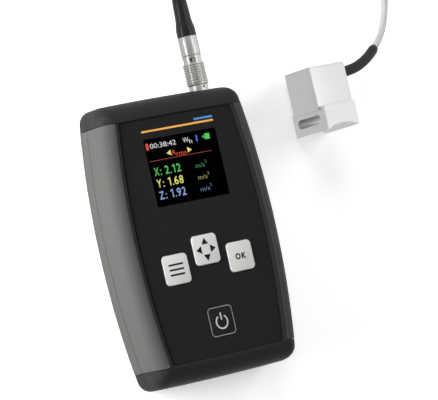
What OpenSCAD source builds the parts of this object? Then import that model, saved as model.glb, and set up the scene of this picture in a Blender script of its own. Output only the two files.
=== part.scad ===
// Handheld vibration meter with a triaxial hand-arm sensor on a plug-in cable.
// Millimetres. The meter lies on its back: +X right, +Y to the socket end, +Z out of the front.

/* [Housing] */
// Length of the housing from end to end
body_len = 148; // [136:1:170]
// Width of the housing at its waist
body_w = 99.2; // [94:0.2:116]
// Thickness of the housing from the back to the rim of the front
body_t = 25.6; // [25:0.2:30]
// Radius of the barrel curve along each long side
side_r = 435; // [380:5:800]
// Radius of the slight bow across each end
end_r = 1500; // [800:50:3000]
// Radius of the four corners seen from the front
corner_r = 10; // [9.2:0.2:13]
// Radius of the edge round the back
back_r = 4.3; // [3:0.1:5]
// Width of the round from each long side to the front
side_round_w = 8.2; // [7:0.2:9]
// Height of the round from each long side to the front
side_round_h = 8.2; // [7:0.2:9]
// Width of the slope from each end to the front
end_round_w = 10; // [9:0.2:11]
// Height of the slope from each end to the front
end_round_h = 12; // [10:0.5:13]
// Height of the parting seam above the back
seam_z = 10; // [9.4:0.2:11]
// Wall of the two shells
wall_t = 2.2; // [1.8:0.1:2.8]
// Height of the groove that marks the seam, half of it in each shell
seam_groove = 0.3; // [0.2:0.05:0.5]
// Length of the side grips
grip_len = 127; // [110:1:128]
// Thickness of the side grips
grip_t = 1.3; // [1:0.1:1.6]

/* [Front] */
// Thickness of the front panel's film
panel_t = 0.4; // [0.3:0.05:0.6]
// Distance from the housing's middle to the middle of the keys and the window
panel_shift = 0.5; // [0:0.1:1]
// Depth of the panel's face below the rim
panel_depth = 1; // [0.7:0.1:1.4]
// Width of the sloped frame beside the panel
frame_w = 2.2; // [1.5:0.1:2.6]
// Width of the rib between the frame and the grip
rib_w = 0.4; // [0.3:0.05:0.6]
// Width of the display window
window_w = 45; // [40:0.5:46]
// Height of the display window
window_h = 35.2; // [30:0.5:37]
// Distance from the panel's upper end to the window
window_in = 11; // [9:0.2:13]
// Thickness of the display window
window_t = 0.8; // [0.5:0.1:1]

/* [Keys] */
// Side of each square key
key_w = 15.6; // [13:0.2:16.4]
// Corner radius of a key
key_r = 2.4; // [1.5:0.1:3.5]
// Height of a key above the panel
key_rise = 0.5; // [0.3:0.1:0.9]
// Travel of a key
key_travel = 0.5; // [0.3:0.05:0.6]
// Gap round a key
key_gap = 0.3; // [0.2:0.05:0.5]
// Distance of the menu and OK keys from the middle line
key_dx = 20.1; // [19.6:0.1:22]
// Place of the menu and OK keys below the panel's middle
key_row_y = -16; // [-22:0.5:-14]
// Place of the arrow key below the panel's middle
nav_y = -9; // [-10:0.5:-7]
// Distance from the panel's lower end to the power key's middle
power_in = 16.4; // [13:0.2:19]
// Height of the flush power key above the panel
power_rise = 0.1; // [0.05:0.05:0.5]

/* [Socket and plug] */
// Distance of the socket from the housing's right side
socket_in = 23.6; // [23.6:0.2:30]
// Height of the socket's axis above the back
socket_z = 13; // [12:0.2:14]
// Length of the socket's ring outside the housing
socket_out = 2.4; // [2:0.2:6]
// Radius of the socket's ring
socket_ring_r = 5.1; // [4.8:0.1:5.4]
// Radius of the socket's barrel through the end wall
socket_barrel_r = 4.4; // [4.3:0.05:4.5]
// Radius of the bore that takes the plug
socket_bore_r = 3.9; // [3.8:0.05:3.95]
// Radius of the plug's latch sleeve
sleeve_r = 5.7; // [5.55:0.05:6.2]
// Length of the latch sleeve
sleeve_len = 11.4; // [10.6:0.2:14]
// Travel of the latch sleeve
sleeve_travel = 1.2; // [0.8:0.1:1.3]
// Radius of the plug's barrel under the latch sleeve
plug_barrel_r = 4.25; // [4.1:0.05:4.3]
// Radius of the plug's rear collar
collar_r = 5; // [4.9:0.05:5.05]
// Length of the collar outside the latch sleeve
collar_len = 4.3; // [3:0.1:6]
// Length of the collet nut
nut_len = 10.2; // [8:0.1:12]
// Radius of the collet nut
nut_r = 5.15; // [5.1:0.05:5.3]

/* [Cable] */
// Diameter of the cable
cable_d = 3.8; // [3:0.1:4]
// Radius of the sleeve boot at the sensor
boot_r = 2.9; // [2.5:0.1:3.2]
// Radius of the coil's outer turn, at the middle of the cable
coil_r = 26; // [25:0.5:27]
// Distance between turns and between layers of the coil
coil_pitch = 4.4; // [4.3:0.1:4.8]
// Number of layers of the coil
coil_layers = 4; // [4]
// Number of turns of the coil
coil_turns = 9.25; // [5.25:1:9.25]

/* [Sensor] */
// Side of the sensor's cube
cube_w = 23.5; // [21:0.5:26]
// Wall of the cube
cube_wall = 2; // [1.5:0.1:3]
// Chamfer along the cube's edges
cube_edge = 0.4; // [0.2:0.1:0.8]
// Width of the handle adapter across its two shoulders
adapter_w = 30; // [28:0.5:33]
// Depth of the handle adapter along the handle's round
adapter_d = 21.5; // [18:0.5:23]
// Height of the seat that carries the cube
seat_h = 11.2; // [11:0.2:14]
// Height of the shoulders above the seat
shoulder_h = 1.5; // [1:0.1:2.5]
// Radius of the saddle that sits on a tool handle
saddle_r = 22; // [18:0.5:30]
// Rise of the saddle at the middle
saddle_rise = 2.4; // [1.5:0.1:3]
// Length of the strap slot
slot_len = 21; // [18:0.5:24]
// Height of the strap slot
slot_h = 4.8; // [4.4:0.1:5.2]
// Height of the slot's middle above the adapter's feet
slot_z = 6.5; // [6.4:0.1:7]
// Core radius of the thread in the sensor's base
thread_r = 1.65; // [1.5:0.05:2.1]
// Height of the cable's exit above the cube's base
exit_h = 18.8; // [12:0.2:19]

/* [Hidden] */

// One overrun serves every cut, and one thin gap every glued or stacked joint
cut = 1;
fit_gap = 0.05;
end_gap = 0.3;

// The housing's box: the socket's ring stands out of one end, and the origin is under the middle of both
half_w = body_w / 2;
half_l = body_len / 2;
body_y = -socket_out / 2;
panel_y = body_y + panel_shift;
face_y = body_y + half_l + socket_out;
socket_x = half_w - socket_in;

// Heights, from the rim down
panel_z = body_t - panel_depth;
recess_z = panel_z - panel_t;
ceiling_z = recess_z - wall_t;
board_t = 1.6;
stack_h = 4.2;
board_z = ceiling_z - stack_h;
shell_in = grip_t + wall_t;

// Rim of the display beyond its window
module_rim_w = 2.75;
module_rim_h = 2.9;

// Corner radius shrinks as the ends slope in to the front
corner_share = 0.74;
// Small corner radius of the panel and its recess
panel_r = 1.8;
rim_end_w = 0.3;
frame_end_w = 0.5;
panel_gap = 0.2;
panel_side = side_round_w + rib_w + frame_w + panel_gap;
panel_end = end_round_w + rim_end_w + frame_end_w + panel_gap;
panel_len = body_len - 2 * panel_end;
window_y = panel_len / 2 - window_in - window_h / 2;
power_y = power_in - panel_len / 2;

// Counts of points: along half a grip, round a corner, from a corner to the middle line
grip_n = 5;
corner_n = 6;
end_n = 2;
front_angles = [0, 16, 32, 48, 64, 78, 87];
back_angles = [0, 22, 44];
sole_angles = [54, 72, 90];

// The side's barrel curve, and the centre of the corner that touches both the side and the end
function side_x(y, hw) = hw - side_r + sqrt(side_r * side_r - y * y);
function corner_centre(hw, hl, rc) =
    let (cs = [hw - side_r, 0], ce = [0, hl - end_r], a = side_r - rc, b = end_r - rc,
        d = norm(ce - cs), e = (ce - cs) / d, m = (a * a - b * b + d * d) / (2 * d))
    cs + m * e + sqrt(a * a - m * m) * [-e[1], e[0]];

// A quarter of the housing's outline. level = [side inset, end inset, z, pocket inset, pocket z].
// With a pocket, the stretch along the grip follows the pocket's inset and height.
function rc_of(level) = max(corner_r - corner_share * level[1], panel_r);
function grip_end(level) =
    let (rc = rc_of(level), k = corner_centre(half_w - level[0], half_l - level[1], rc))
    min(grip_len / 2, k[1] - 2 * end_gap);
function quarter(level, pocket) =
    let (hw = half_w - level[0], hl = half_l - level[1], rc = rc_of(level),
        k = corner_centre(hw, hl, rc), ye = grip_end(level),
        a1 = atan2(k[1], k[0] - hw + side_r), a2 = atan2(k[1] - hl + end_r, k[0]))
    concat(
        [for (i = [0:grip_n]) let (y = ye * i / grip_n)
            pocket ? [side_x(y, half_w - level[3]), y, level[4]] : [side_x(y, hw), y, level[2]]],
        pocket ? [[side_x(ye + end_gap, hw), ye + end_gap, level[2]]] : [],
        [for (i = [0:corner_n]) let (a = a1 + (a2 - a1) * i / corner_n)
            [k[0] + rc * cos(a), k[1] + rc * sin(a), level[2]]],
        [for (i = [1:end_n]) let (a = a2 + (90 - a2) * i / end_n)
            [i == end_n ? 0 : end_r * cos(a), hl - end_r + end_r * sin(a), level[2]]]);

// The whole outline: the quarter, then its mirror images, each without the points it shares
function outline(level, pocket) =
    let (q = quarter(level, pocket), n = len(q))
    concat(q, [for (i = [n - 2:-1:0]) [-q[i][0], q[i][1], q[i][2]]],
        [for (i = [1:n - 1]) [-q[i][0], -q[i][1], q[i][2]]],
        [for (i = [n - 2:-1:1]) [q[i][0], -q[i][1], q[i][2]]]);

// Faces between rings of m points, each ring above the last, with a flat cap at both ends
function ring_faces(rings, m) = concat(
    [for (k = [0:rings - 2], i = [0:m - 1]) let (j = (i + 1) % m)
        [k * m + i, (k + 1) * m + i, (k + 1) * m + j]],
    [for (k = [0:rings - 2], i = [0:m - 1]) let (j = (i + 1) % m)
        [k * m + i, (k + 1) * m + j, k * m + j]]);
function cap_faces(rings, m) = [[for (i = [0:m - 1]) i], [for (i = [m - 1:-1:0]) (rings - 1) * m + i]];
function flat(rings) = [for (r = rings) each r];
module loft(rings) {
    m = len(rings[0]);
    polyhedron(flat(rings), concat(ring_faces(len(rings), m), cap_faces(len(rings), m)));
}

// Side profile as [inset, z]: up from the seam and over to the front, or down to the back.
// depth is how far under the skin the profile runs.
function front_side(depth) = concat(
    [[depth + (depth == 0 ? seam_groove : 0), seam_z], [depth, seam_z + seam_groove]],
    [for (a = front_angles) [side_round_w - (side_round_w - depth) * cos(a),
        body_t - side_round_h + (side_round_h - depth) * sin(a)]]);
function back_side(depth) = concat(
    [[depth + (depth == 0 ? seam_groove : 0), seam_z], [depth, seam_z - seam_groove]],
    [for (a = back_angles) [back_r - (back_r - depth) * cos(a), back_r - (back_r - depth) * sin(a)]]);
function end_inset(z) =
    let (h = z - body_t + end_round_h)
    h > 0 ? end_round_w * (1 - sqrt(1 - pow(min(h / end_round_h, 1), 2))) : 0;

function front_levels() =
    let (o = front_side(0), p = front_side(grip_t))
    concat([for (i = [0:len(o) - 1])
        [o[i][0], i == 0 ? seam_groove : end_inset(o[i][1]), o[i][1], p[i][0], p[i][1]]],
        [[side_round_w, end_round_w, body_t, side_round_w, body_t],
        [side_round_w + rib_w, end_round_w + rim_end_w, body_t, side_round_w + rib_w, body_t],
        [side_round_w + rib_w + frame_w, end_round_w + rim_end_w + frame_end_w, recess_z,
            side_round_w + rib_w + frame_w, recess_z]]);
function back_levels() =
    let (o = back_side(0), p = back_side(grip_t), top = len(o) - 1)
    concat([for (a = [sole_angles[2], sole_angles[1], sole_angles[0]])
        let (s = back_r * (1 - cos(a)), z = back_r * (1 - sin(a))) [s, s, z, s, z]],
        [for (i = [top:-1:0]) [o[i][0], o[i][0], o[i][1], p[i][0], p[i][1]]]);

// A grip half: the skin and the inner skin, carried along the side and closed at both ends
module grip(outer, inner, levels, front) {
    skin = [for (i = [0:len(outer) - 1]) concat(outer[i], [grip_end(levels[i]) - fit_gap])];
    under = [for (i = [len(inner) - 1:-1:0]) concat(inner[i], [grip_end(levels[i]) - fit_gap])];
    profile = concat(skin, under);
    n = len(profile);
    steps = 2 * grip_n;
    rings = [for (s = [0:steps]) [for (p = profile)
        let (y = p[2] * (s - grip_n) / grip_n) [side_x(y, half_w - p[0]), y, p[1]]]];
    caps = [for (i = [0:n / 2 - 2]) let (j = n - 1 - i)
        each [[i, i + 1, j - 1], [i, j - 1, j]]];
    last = steps * n;
    faces = concat(ring_faces(steps + 1, n), caps, [for (f = caps) [last + f[2], last + f[1], last + f[0]]]);
    polyhedron(flat(rings), front ? faces : [for (f = faces) [f[2], f[1], f[0]]]);
}
module front_grip() {
    o = front_side(0);
    p = front_side(grip_t - fit_gap);
    top = [side_round_w - fit_gap, body_t];
    foot = (p[len(p) - 1] + top) / 2 - [fit_gap, 0];
    grip(concat(o, [top]), concat(p, [foot]), front_levels(), true);
}
module back_grip() {
    o = back_side(0);
    p = back_side(grip_t - fit_gap);
    lv = [for (i = [0:len(o) - 1]) [o[i][0], o[i][0], o[i][1], p[i][0], p[i][1]]];
    grip(o, p, lv, false);
}

// Inside of the shells: a coarser outline, in from the skin by the grip and the wall
function hollow_level(z) =
    let (h = (z - body_t + side_round_h) / side_round_h,
        s = h > 0 ? side_round_w * (1 - sqrt(1 - h * h)) : 0)
    [shell_in + s, shell_in + end_inset(z), z];
module hollow(z0, z1) {
    mid = body_t - side_round_h;
    z_list = z1 > mid ? [z0, mid, (mid + z1) / 2, z1] : [z0, z1];
    levels = [for (z = z_list) hollow_level(z)];
    last = len(levels) - 1;
    between(z0, z1) loft([for (l = concat([moved(levels[0], -cut)], levels, [moved(levels[last], cut)]))
        outline(l, false)]);
}
module between(z0, z1) {
    intersection() {
        children();
        translate([-body_w, -body_len, z0]) cube([2 * body_w, 2 * body_len, z1 - z0]);
    }
}
module plan(inset) {
    polygon([for (p = outline([inset, inset, 0], false)) [p[0], p[1]]]);
}

// A level carried up or down, so that a loft runs past the flat cut that ends it
function moved(level, dz) = [for (i = [0:len(level) - 1]) level[i] + (i == 2 || i == 4 ? dz : 0)];

// Flat shapes and patterns that several pieces share
module rounded(w, h, r) {
    square([w - 2 * r, h], center = true);
    square([w, h - 2 * r], center = true);
    for (x = [-1, 1], y = [-1, 1])
        translate([x * (w / 2 - r), y * (h / 2 - r)]) circle(r = r, $fn = 32);
}
module plate(w, h, r, z0, z1) {
    translate([0, 0, z0]) linear_extrude(z1 - z0) rounded(w, h, r);
}
module post(r, z0, z1) {
    translate([0, 0, z0]) cylinder(r = r, h = z1 - z0, $fn = 32);
}
module bar(r, z0, z1) {
    translate([0, 0, z0]) cylinder(r = r, h = z1 - z0, $fn = 48);
}
module at_corners(x, y) {
    for (i = [-1, 1], j = [-1, 1]) translate([i * x, body_y + j * y, 0]) children();
}

// Screws of the case and of the main board
case_screw_side = 15.2;
case_screw_end = 11.5;
case_screw_x = half_w - case_screw_side;
case_screw_y = half_l - case_screw_end;
screw_r = 1.2;
screw_head_r = 2.8;
screw_head_h = 2;
screw_sink = 0.9;
screw_len = 13;
pilot_gap = 0.05;
hole_gap = 0.45;
boss_r = 3.6;
board_rim = 11;
board_end = 18;
board_w = window_w + 2 * module_rim_w + 2 * board_rim;
board_l = body_len - 2 * board_end;
board_inset = 3.5;
board_boss_r = 2.9;
board_screw_r = 0.95;
board_head_r = 1.9;
board_head_h = 1.3;
module cross_recess(r, depth) {
    for (a = [0, 90]) rotate(a) translate([0, 0, depth / 2]) cube([r, r / 4, depth], center = true);
}
module case_screw_place() {
    at_corners(case_screw_x, case_screw_y) children();
}
module board_screw_place() {
    at_corners(board_w / 2 - board_inset, board_l / 2 - board_inset) children();
}

// Keys: a cap through the front, a flange under the wall and a plunger over the contact
flange_w = 17.4;
flange_t = 0.8;
flange_gap = 0.1;
plunger_r = 3;
contact_t = 0.1;
mat_t = 1.2;
mat_w = 53;
mat_hole_r = 3.6;
key_overlap = 0.25;
key_rises = [key_rise, key_rise, key_rise, power_rise];
plunger_end = contact_t + key_travel + flange_gap;
key_places = [[-key_dx, key_row_y], [0, nav_y], [key_dx, key_row_y], [0, power_y]];
module key_at(i) {
    translate([key_places[i][0], panel_y + key_places[i][1], 0]) children();
}
module key(i) {
    top = ceiling_z - flange_gap;
    key_at(i) {
        plate(key_w, key_w, key_r, top - key_overlap, panel_z + key_rises[i]);
        plate(flange_w, flange_w, key_r + flange_t, top - flange_t, top);
        post(plunger_r, board_z + plunger_end, top - flange_t + key_overlap);
    }
}
module key_openings(z0, z1) {
    for (i = [0:3]) key_at(i) plate(key_w + 2 * key_gap, key_w + 2 * key_gap, key_r + key_gap, z0, z1);
}

// Display stack under the window
window_gap = 0.1;
ledge_w = 1;
frame_t = 0.8;
module_w = window_w + 2 * module_rim_w;
module_h = window_h + 2 * module_rim_h;
module window_at() {
    translate([0, panel_y + window_y, 0]) children();
}

// Socket and plug run along +Y from the housing's end
module along_y(y) {
    translate([socket_x, y, socket_z]) rotate([-90, 0, 0]) children();
}
spot_depth = 0.8;
spot_gap = 0.4;
barrel_gap = 0.1;
pad_w = 15;
pad_t = 1.8;
pad_h = 7.2;
module socket_cuts() {
    along_y(body_y + half_l) {
        bar(socket_ring_r + spot_gap, -spot_depth, cut);
        bar(socket_barrel_r + barrel_gap, -shell_in - pad_t - cut, cut);
    }
}
// A flat pad inside the end wall, half in each shell, where the socket's nut seats
module socket_pad(z0, z1) {
    translate([socket_x - pad_w / 2, body_y + half_l - shell_in - pad_t, z0])
        cube([pad_w, pad_t + wall_t / 2, z1 - z0]);
}

module front_shell() {
    color("#232425") difference() {
        union() {
            difference() {
                between(seam_z, body_t + cut) translate([0, body_y, 0]) loft(
                    [for (l = concat([moved(front_levels()[0], -cut)], front_levels())) outline(l, true)]);
                translate([0, body_y, 0]) hollow(seam_z - cut, ceiling_z);
            }
            case_screw_place() post(boss_r, seam_z, recess_z - wall_t / 2);
            board_screw_place() post(board_boss_r, board_z, recess_z - wall_t / 2);
            socket_pad(seam_z, socket_z + pad_h);
        }
        case_screw_place() post(screw_r + pilot_gap, seam_z - cut, seam_z + screw_len - wall_t);
        board_screw_place() post(board_screw_r + pilot_gap, board_z - cut, recess_z - wall_t);
        key_openings(ceiling_z - cut, recess_z + cut);
        window_at() {
            plate(window_w + 2 * window_gap, window_h + 2 * window_gap, ledge_w,
                panel_z - window_t - fit_gap, recess_z + cut);
            plate(window_w - 2 * ledge_w, window_h - 2 * ledge_w, ledge_w, ceiling_z - cut, recess_z + cut);
        }
        socket_cuts();
    }
}

// Back shell: floor, seal groove, screw bosses, ribs round the battery and posts for the input board
seal_in = 2.2;
seal_w = 0.9;
seal_h = 0.9;
battery_w = 46;
battery_h = 10.4;
battery_end = 19;
battery_reach = 7;
battery_l = half_l - battery_end + battery_reach;
battery_y = (battery_end + battery_reach - half_l) / 2;
rib_t = 1.2;
rib_h = 5;
rib_gap = 0.3;
input_w = 40;
input_l = 24;
input_x = 8;
input_end = 31;
input_y = half_l - input_end;
input_z = 5.5;
input_inset = 3;
input_post_r = 2.4;
module input_posts() {
    for (i = [-1, 1], j = [-1, 1]) translate([input_x + i * (input_w / 2 - input_inset),
        body_y + input_y + j * (input_l / 2 - input_inset), 0]) children();
}
module battery_ribs() {
    w = battery_w + 2 * rib_gap + 2 * rib_t;
    l = battery_l + 2 * rib_gap + 2 * rib_t;
    translate([0, body_y + battery_y, wall_t / 2]) linear_extrude(rib_h) difference() {
        square([w, l], center = true);
        square([w - 2 * rib_t, l - 2 * rib_t], center = true);
        square([w / 2, l + cut], center = true);
        square([w + cut, l / 2], center = true);
    }
}
module back_shell() {
    last = len(back_levels()) - 1;
    color("#232425") difference() {
        union() {
            difference() {
                between(0, seam_z) translate([0, body_y, 0]) loft([for (l = concat(
                    [moved(back_levels()[0], -cut)], back_levels(), [moved(back_levels()[last], cut)]))
                    outline(l, true)]);
                translate([0, body_y, 0]) hollow(wall_t, seam_z + cut);
            }
            case_screw_place() post(boss_r, wall_t / 2, seam_z);
            input_posts() post(input_post_r, wall_t / 2, input_z);
            battery_ribs();
            socket_pad(wall_t / 2, seam_z);
        }
        case_screw_place() {
            post(screw_head_r + 2 * fit_gap, -cut, screw_sink + screw_head_h + fit_gap);
            post(screw_r + hole_gap, -cut, seam_z + cut);
        }
        translate([0, body_y, seam_z - seal_h]) linear_extrude(seal_h + cut) difference() {
            plan(seal_in);
            plan(seal_in + seal_w);
        }
        socket_cuts();
    }
}
module case_seal() {
    color("#101010") difference() {
        translate([0, body_y, seam_z - seal_h + fit_gap]) linear_extrude(seal_h - 2 * fit_gap) difference() {
            plan(seal_in + fit_gap);
            plan(seal_in + seal_w - fit_gap);
        }
        socket_cuts();
    }
}
module case_screws() {
    color("#3a3a3c") case_screw_place() difference() {
        union() {
            post(screw_head_r, screw_sink, screw_sink + screw_head_h);
            post(screw_r, screw_sink, seam_z + screw_len - 2 * wall_t);
        }
        translate([0, 0, screw_sink - cut / 2]) cross_recess(screw_head_r + screw_r, cut + screw_sink);
    }
}
module side(s) {
    translate([0, body_y, 0]) mirror([s < 0 ? 1 : 0, 0, 0]) children();
}
module front_grip_left() { color("#7c7d7e") side(-1) front_grip(); }
module front_grip_right() { color("#7c7d7e") side(1) front_grip(); }
module back_grip_left() { color("#7c7d7e") side(-1) back_grip(); }
module back_grip_right() { color("#7c7d7e") side(1) back_grip(); }

module front_panel() {
    color("#2e2f31") difference() {
        translate([0, body_y, recess_z]) linear_extrude(panel_t)
            polygon([for (p = outline([panel_side, panel_end, 0], false)) [p[0], p[1]]]);
        key_openings(recess_z - cut, panel_z + cut);
        window_at() plate(window_w + 2 * window_gap, window_h + 2 * window_gap, ledge_w,
            recess_z - cut, panel_z + cut);
    }
}
module display_window() {
    color("#08090b") window_at() plate(window_w, window_h, ledge_w, panel_z - window_t, panel_z - fit_gap);
}
module display_frame() {
    color("#1b1b1b") window_at() difference() {
        plate(module_w, module_h, ledge_w, ceiling_z - frame_t, ceiling_z);
        plate(window_w, window_h, ledge_w, ceiling_z - frame_t - cut, ceiling_z + cut);
    }
}
module display_module() {
    color("#5a6066") window_at() plate(module_w, module_h, ledge_w, board_z, ceiling_z - frame_t);
}
module main_board() {
    color("#1f5b34") difference() {
        translate([0, body_y, 0]) plate(board_w, board_l, board_inset, board_z - board_t, board_z);
        board_screw_place() post(board_screw_r + hole_gap / 2, board_z - board_t - cut, board_z + cut);
    }
}
module board_screws() {
    color("#c9c9c9") board_screw_place() {
        post(board_head_r, board_z - board_t - board_head_h, board_z - board_t);
        post(board_screw_r, board_z - board_t - board_head_h / 2, ceiling_z - cut);
    }
}
module keypad_mat() {
    l = nav_y - power_y + flange_w;
    color("#8d9092") difference() {
        translate([0, panel_y + (nav_y + power_y) / 2, 0]) plate(mat_w, l, key_r, board_z, board_z + mat_t);
        for (i = [0:3]) key_at(i) post(mat_hole_r, board_z - cut, board_z + mat_t + cut);
    }
}
module key_contacts() {
    color("#c8a24a") for (i = [0:3]) key_at(i) post(plunger_r, board_z, board_z + contact_t);
}
module menu_key() { color("#d8d8d6") key(0); }
module nav_key() { color("#d8d8d6") key(1); }
module ok_key() { color("#d8d8d6") key(2); }
module power_key() { color("#2a2b2d") key(3); }

module battery_pack() {
    color("#2f6fb0") translate([0, body_y + battery_y, 0])
        plate(battery_w, battery_l, rib_h, wall_t, wall_t + battery_h);
}
module battery_pad() {
    color("#6b6b6b") translate([0, body_y + battery_y, 0])
        plate(battery_w / 2, battery_l / 2, rib_gap, wall_t + battery_h, board_z - board_t);
}
module input_board() {
    color("#1f5b34") translate([input_x, body_y + input_y, 0])
        plate(input_w, input_l, input_inset / 2, input_z, input_z + board_t);
}
module board_header() {
    color("#171717") translate([input_x, body_y + input_y - input_l / 4, 0])
        plate(input_w / 2, input_inset * 1.6, input_inset / 4, input_z + board_t, board_z - board_t);
}

// Contact circle shared by the socket's and the plug's pins
insert_r = 3.1;
pin_circle_r = 1.7;
pin_r = 0.4;
module pin_places() {
    for (i = [0:3]) rotate(45 + 90 * i) translate([pin_circle_r, 0, 0]) children();
}
socket_depth = 7;
socket_barrel_len = 15;
tail_len = 3;
dot_r = 0.6;
module socket_body() {
    ring = socket_out + spot_depth;
    color("#c4c6c8") difference() {
        along_y(face_y - ring) difference() {
            union() {
                bar(socket_barrel_r, -socket_barrel_len, ring / 2);
                rotate_extrude($fn = 48) polygon([[0, 0], [socket_ring_r, 0],
                    [socket_ring_r, ring - rim_end_w], [socket_ring_r - rim_end_w, ring], [0, ring]]);
            }
            bar(socket_bore_r, ring - socket_depth, ring + cut);
            bar(insert_r + fit_gap, -socket_barrel_len - cut, ring);
        }
        translate([socket_x, face_y - socket_out / 2, socket_z + socket_ring_r - dot_r / 2])
            cylinder(r = dot_r, h = cut, $fn = 24);
    }
}
nut_flat_r = 6.6;
thin_nut_h = 2.6;
module socket_nut() {
    color("#b9bbbd") along_y(body_y + half_l - shell_in - pad_t - thin_nut_h) difference() {
        cylinder(r = nut_flat_r, h = thin_nut_h, $fn = 6);
        bar(socket_barrel_r + fit_gap, -cut, thin_nut_h + cut);
    }
}
socket_insert_len = socket_barrel_len + socket_out + spot_depth - socket_depth;
module socket_insert() {
    y0 = face_y - socket_insert_len - socket_depth;
    color("#e8e4d8") along_y(y0) difference() {
        bar(insert_r, 0, socket_insert_len);
        pin_places() post(pin_r + fit_gap, -cut, socket_insert_len + cut);
    }
}
pin_overlap = 4;
module socket_pins() {
    y0 = face_y - socket_insert_len - socket_depth;
    color("#d0a94c") along_y(y0) pin_places()
        post(pin_r, -tail_len, socket_insert_len - pin_overlap - fit_gap);
}
lead_r = 0.35;
lead_run = 2;
lead_step = 1.3;
lead_colours = ["#c0392b", "#2c7a3f", "#d9b233", "#2d5d9f"];
module socket_leads() {
    y0 = face_y - socket_insert_len - socket_depth - tail_len;
    for (i = [0:3]) {
        a = 45 + 90 * i;
        run = lead_run + (i == 0 || i == 3 ? 0 : lead_step);
        z = socket_z - pin_circle_r * sin(a);
        color(lead_colours[i]) translate([socket_x + pin_circle_r * cos(a), y0, z]) {
            rotate([90, 0, 0]) post(lead_r, 0, run);
            translate([0, -run, 0]) {
                sphere(r = lead_r, $fn = 16);
                post(lead_r, input_z + board_t - z, 0);
            }
        }
    }
}

// Plug: a nose in the socket, a barrel under the latch sleeve, and a collar with two spanner flats
sleeve_gap = 0.3;
nose_len = 6.6;
nose_r = socket_bore_r - 2 * fit_gap;
plug_bore_r = 3.15;
skirt_gap = 0.1;
skirt_len = 3;
collar_front = sleeve_travel + 0.2;
sleeve_y = face_y + sleeve_gap;
collar_y = sleeve_y + sleeve_len - skirt_len + collar_front;
plug_end = sleeve_y + sleeve_len + collar_len;
flat_depth = 0.35;
key_slot_depth = 0.7;
key_slot_turn = -120;
flat_share = 0.5;
slot_share = 0.75;
module plug_body() {
    mid = plug_end - sleeve_y - collar_len * flat_share;
    flat = collar_len * flat_share / 2;
    slot = collar_len * slot_share / 2;
    color("#c4c6c8") along_y(sleeve_y) difference() {
        union() {
            bar(nose_r, -sleeve_gap - nose_len, 0);
            bar(plug_barrel_r, 0, plug_end - sleeve_y);
            bar(collar_r, collar_y - sleeve_y, plug_end - sleeve_y);
        }
        bar(plug_bore_r, -sleeve_gap - nose_len - cut, plug_end - sleeve_y + cut);
        for (a = [0, 180]) rotate(a)
            translate([collar_r - flat_depth, -collar_r, mid - flat]) cube([cut, 2 * collar_r, 2 * flat]);
        rotate(key_slot_turn)
            translate([collar_r - key_slot_depth, -dot_r, mid - slot]) cube([cut, 2 * dot_r, 2 * slot]);
    }
}
plug_insert_len = 14;
insert_step = 0.2;
module plug_insert() {
    color("#e8e4d8") along_y(face_y - socket_depth + insert_step) difference() {
        bar(insert_r, 0, plug_insert_len);
        pin_places() post(pin_r + fit_gap, -cut, plug_insert_len + cut);
    }
}
module plug_pins() {
    color("#d0a94c") along_y(face_y - socket_depth) pin_places()
        post(pin_r, -pin_overlap + fit_gap, plug_insert_len);
}
// The sleeve's knurl: ring grooves from the profile, and shallower long grooves cut round it
knurl_rings = 6;
knurl_cuts = 20;
knurl_depth = 0.35;
knurl_cut_depth = 0.25;
knurl_w = 0.5;
knurl_start = 1.2;
knurl_end = 0.8;
sleeve_edge = 0.4;
module latch_sleeve() {
    step = (sleeve_len - knurl_start - knurl_end - knurl_w) / knurl_rings;
    profile = concat([[plug_barrel_r + fit_gap, 0], [sleeve_r - sleeve_edge, 0], [sleeve_r, sleeve_edge]],
        [for (i = [0:knurl_rings]) let (y = knurl_start + i * step)
            each [[sleeve_r, y], [sleeve_r - knurl_depth, y],
                [sleeve_r - knurl_depth, y + knurl_w], [sleeve_r, y + knurl_w]]],
        [[sleeve_r, sleeve_len - sleeve_edge], [sleeve_r - sleeve_edge, sleeve_len],
        [collar_r + skirt_gap, sleeve_len], [collar_r + skirt_gap, sleeve_len - skirt_len],
        [plug_barrel_r + fit_gap, sleeve_len - skirt_len]]);
    color("#cfd1d3") along_y(sleeve_y) difference() {
        rotate_extrude($fn = 60) polygon(profile);
        for (i = [0:knurl_cuts - 1]) rotate((i + 0.5) * 360 / knurl_cuts)
            translate([sleeve_r - knurl_cut_depth, -knurl_w / 2, knurl_start + knurl_w / 2])
                cube([cut, knurl_w, knurl_rings * step]);
    }
}
collet_gap = 0.1;
collet_len = 6;
collet_head = 2;
collet_wall = 1.1;
collet_tip_r = 2.85;
nut_wall = 1;
nut_mouth_r = 3.05;
module collet() {
    bore = cable_d / 2 + fit_gap;
    color("#b98f3a") along_y(plug_end + collet_gap) rotate_extrude($fn = 48) polygon([
        [bore, 0], [collar_r - collet_wall, 0], [collar_r - collet_wall, collet_head],
        [collet_tip_r, collet_len], [bore, collet_len]]);
}
module collet_nut() {
    end = nut_len - collet_gap;
    back = collet_len + collet_gap;
    bore = collar_r - nut_wall;
    color("#c9cbcd") along_y(plug_end + collet_gap) rotate_extrude($fn = 60) polygon([
        [bore, 0], [nut_r - rim_end_w, 0], [nut_r, rim_end_w], [nut_r, end - rim_end_w],
        [nut_r - rim_end_w, end], [nut_mouth_r, end], [nut_mouth_r, back], [bore, back - nut_wall]]);
}

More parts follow.
